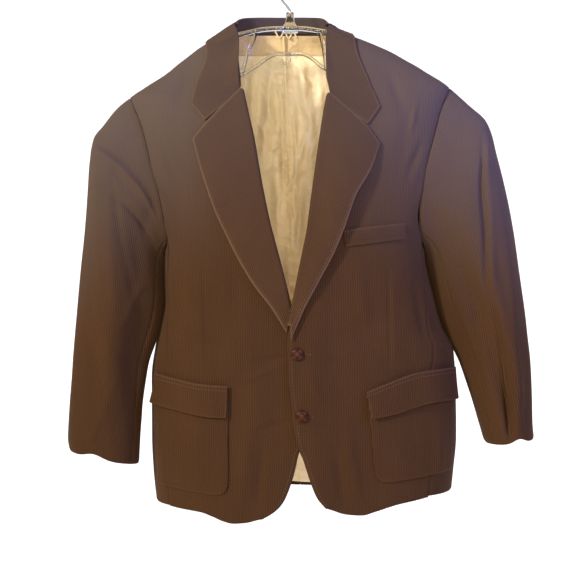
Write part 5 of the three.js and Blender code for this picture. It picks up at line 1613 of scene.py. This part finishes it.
@dataclass
class Topstitching:
    """Rows of machine stitches along edges, pockets, welt and buttonholes."""
    finishes: Finishes
    # Real stitches are 2.5 mm long and 0.3 mm thick; drawn thicker and longer, so that they show
    spacing: float = 5.2
    length: float = 4.0
    thickness: float = 0.62

    def tree(self) -> bpy.types.NodeTree:
        """Geometry Nodes that lay one stitch at each step along edges."""
        tree = bpy.data.node_groups.new("topstitch", "GeometryNodeTree")
        sockets = tree.interface
        sockets.new_socket("Paths", in_out="INPUT", socket_type="NodeSocketGeometry")
        for label, value in (("Spacing", self.spacing), ("Length", self.length), ("Thickness", self.thickness)):
            socket = sockets.new_socket(label, in_out="INPUT", socket_type="NodeSocketFloat")
            socket.default_value = value * MM
        sockets.new_socket("Thread", in_out="INPUT", socket_type="NodeSocketMaterial")
        sockets.new_socket("Stitches", in_out="OUTPUT", socket_type="NodeSocketGeometry")
        given = node(tree, "NodeGroupInput")
        curve = node(tree, "GeometryNodeMeshToCurve", {}, {"Mesh": given.outputs["Paths"]})
        even = node(tree, "GeometryNodeResampleCurve", {"mode": "LENGTH"}, {
            "Curve": curve.outputs[0], "Length": given.outputs["Spacing"]})
        ball = node(tree, "GeometryNodeMeshUVSphere", {"Segments": 6, "Rings": 4, "Radius": 0.5})
        size = node(tree, "ShaderNodeCombineXYZ", {}, {
            0: given.outputs["Thickness"], 1: given.outputs["Thickness"], 2: given.outputs["Length"]})
        grain = node(tree, "GeometryNodeTransform", {}, {"Geometry": ball.outputs["Mesh"], "Scale": size.outputs[0]})
        tangent = node(tree, "GeometryNodeInputTangent")
        turn = node(tree, "FunctionNodeAlignRotationToVector", {"axis": "Z"}, {"Vector": tangent.outputs[0]})
        laid = node(tree, "GeometryNodeInstanceOnPoints", {}, {
            "Points": even.outputs[0], "Instance": grain.outputs[0], "Rotation": turn.outputs[0]})
        real = node(tree, "GeometryNodeRealizeInstances", {}, {0: laid.outputs[0]})
        smooth = node(tree, "GeometryNodeSetShadeSmooth", {}, {0: real.outputs[0]})
        thread = node(tree, "GeometryNodeSetMaterial", {}, {
            "Geometry": smooth.outputs[0], "Material": given.outputs["Thread"]})
        node(tree, "NodeGroupOutput", {}, {"Stitches": thread.outputs[0]})
        return tree

    def lines(self) -> list[np.ndarray]:
        """The rows of stitches, as points just above the cloth."""
        rows = []
        for side in Side:
            flap_top = through(POCKET_SIZES[side.value][1], 10)
            out = LAYER * 2 + PATCH * 2 + 1.2
            for inset in (2.5, 8.5):
                ends = slice(1, -1)
                rows.append(BODY.on_front(flap_top[ends, 0], flap_top[ends, 1] - inset, out - 0.1 + 0.06 * inset))
            lapel = Track(LEFT_LAPEL if side is Side.LEFT else RIGHT_LAPEL)(np.linspace(0.15, 7.8, 90))
            ways = unit(np.gradient(lapel[:, 2:4], axis=0))
            x = lapel[:, 2] + side.out * -5 * np.abs(ways[:, 1])
            z = lapel[:, 3] + 5 * np.abs(ways[:, 0])
            height = 2.3 + LAPEL + lapel[:, 4] + (0 if side is Side.LEFT else overlap_lift(x, z))
            rows.append(BODY.on_front(x, z, height - 0.25))
            edge = Track(LEFT_EDGE if side is Side.LEFT else RIGHT_EDGE)
            z = np.linspace(-560, -826, 90)
            x = edge(z)[:, 0] + side.out * 6
            rows.append(BODY.on_front(x, z, 0.05 + (0 if side is Side.LEFT else overlap_lift(x, z))))
        for x0, x1, z in ((21, 30, -595.5), (28, 35, -690)):
            t = np.linspace(0, 2 * np.pi, 40)
            x = (x0 + x1) / 2 + (x1 - x0) / 2 * np.cos(t)
            rows.append(BODY.on_front(x, z + 1.1 * np.sin(t), overlap_lift(x, z) + 0.2))
        welt = through(WELT_TOP, 12)
        rows.append(BODY.on_front(welt[1:-1, 0], welt[1:-1, 1] - 3, LAYER + PATCH - 0.1))
        return rows

    def dress(self) -> None:
        """Places all rows as one piece."""
        rows = self.lines()
        points = np.concatenate(rows) * MM
        edges, start = [], 0
        for row in rows:
            edges += [(start + k, start + k + 1) for k in range(len(row) - 1)]
            start += len(row)
        paths = bpy.data.meshes.new("stitch_paths")
        paths.from_pydata(points.tolist(), edges, [])
        host = bpy.data.objects.new("stitch_paths", paths)
        bpy.context.scene.collection.objects.link(host)
        tree = self.tree()
        modifier = host.modifiers.new("topstitch", "NODES")
        modifier.node_group = tree
        for item in tree.interface.items_tree:
            if item.in_out == "INPUT" and item.name == "Thread":
                modifier[item.identifier] = self.finishes.thread
            elif item.in_out == "INPUT" and item.name == "Spacing":
                modifier[item.identifier] = self.spacing * MM
        evaluated = host.evaluated_get(bpy.context.evaluated_depsgraph_get())
        mesh = bpy.data.meshes.new_from_object(evaluated)
        host.modifiers.remove(modifier)
        bpy.data.objects.remove(host)
        mesh.name = "topstitching"
        mesh.materials.clear()
        place("topstitching", mesh, [self.finishes.thread])


@dataclass
class Studio:
    """Pale floor, soft light and the camera."""
    finishes: Finishes
    floor_z: float = -1.45
    camera_y: float = -2.0
    camera_z: float = -0.424
    aim_z: float = -0.5024
    lens: float = 77.6
    sun: float = 3.6
    sun_spread: float = 6 * DEG
    fill_watts: float = 20
    top_watts: float = 5.5
    cool_watts: float = 16.5
    sky: float = 0.28

    def area(self, name: str, spot: tuple[float, float, float], aim: tuple[float, float, float], size: float,
             watts: float, colour: str) -> None:
        """Adds a square soft light."""
        light = bpy.data.lights.new(name, "AREA")
        light.size, light.energy, light.color = size, watts, srgb(colour)[:3]
        lamp = bpy.data.objects.new(name, light)
        lamp.location = spot
        lamp.rotation_euler = (Vector(aim) - Vector(spot)).to_track_quat("-Z", "Y").to_euler()
        bpy.context.scene.collection.objects.link(lamp)

    def camera(self) -> None:
        """Adds the camera at the photograph's viewing angle."""
        data = bpy.data.cameras.new("camera")
        data.lens, data.sensor_width = self.lens, 36
        camera = bpy.data.objects.new("camera", data)
        camera.location = (0, self.camera_y, self.camera_z)
        aim = Vector((0, 0, self.aim_z)) - camera.location
        camera.rotation_euler = aim.to_track_quat("-Z", "Y").to_euler()
        bpy.context.scene.collection.objects.link(camera)
        bpy.context.scene.camera = camera

    def paper(self) -> None:
        """Adds the floor with its curved backdrop."""
        angle = np.linspace(0, np.pi / 2, 16)
        profile = [(-4.0, self.floor_z)] + [
            (1.6 + 0.8 * np.sin(a), self.floor_z + 0.8 * (1 - np.cos(a))) for a in angle] + [(2.4, 3.0)]
        points = [(x, y, z) for y, z in profile for x in (-5.0, 5.0)]
        faces = [(2 * k, 2 * k + 1, 2 * k + 3, 2 * k + 2) for k in range(len(profile) - 1)]
        mesh = bpy.data.meshes.new("studio_paper")
        mesh.from_pydata(points, [], faces)
        mesh.polygons.foreach_set("use_smooth", np.ones(len(faces), bool))
        mesh.materials.append(self.finishes.studio)
        paper = bpy.data.objects.new("studio_paper", mesh)
        bpy.context.scene.collection.objects.link(paper)

    def dress(self) -> None:
        """Sets up the studio."""
        scene = bpy.context.scene
        scene.view_settings.view_transform = "Standard"
        world = bpy.data.worlds.new("studio")
        world.use_nodes = True
        sky = next(n for n in world.node_tree.nodes if n.type == "BACKGROUND")
        sky.inputs["Color"].default_value = srgb("ffffff")
        sky.inputs["Strength"].default_value = self.sky
        scene.world = world
        self.camera()
        self.paper()
        light = bpy.data.lights.new("key", "SUN")
        light.energy, light.angle, light.color = self.sun, self.sun_spread, srgb("fffaf2")[:3]
        lamp = bpy.data.objects.new("key", light)
        lamp.rotation_euler = Vector((0.82, 0.66, -0.5)).to_track_quat("-Z", "Y").to_euler()
        scene.collection.objects.link(lamp)
        self.area("fill", (0.1, -2.1, -0.2), (0, 0, -0.4), 0.9, self.fill_watts, "fff6e6")
        self.area("top", (-0.62, -0.75, 0.22), (-0.28, -0.05, -0.25), 0.5, self.top_watts, "d4e0ff")
        self.area("cool", (0.95, -0.55, -0.12), (0.4, -0.05, -0.32), 0.4, self.cool_watts, "7482ff")


def main() -> None:
    """Builds the jacket piece by piece and sets up the studio."""
    logging.basicConfig(level=logging.INFO, format="%(name)s %(message)s")
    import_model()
    finishes = Finishes.make()
    Studio(finishes).dress()
    sleeves = Sleeves(finishes)
    for part in (BodyPanels(finishes), sleeves, Lapels(finishes), Collar(finishes), Lining(finishes),
                 Pockets(finishes), Buttons(finishes, sleeves), Hanger(finishes), Topstitching(finishes)):
        part.dress()
        LOG.info("%s is dressed", type(part).__name__)


if __name__ == "__main__":
    main()
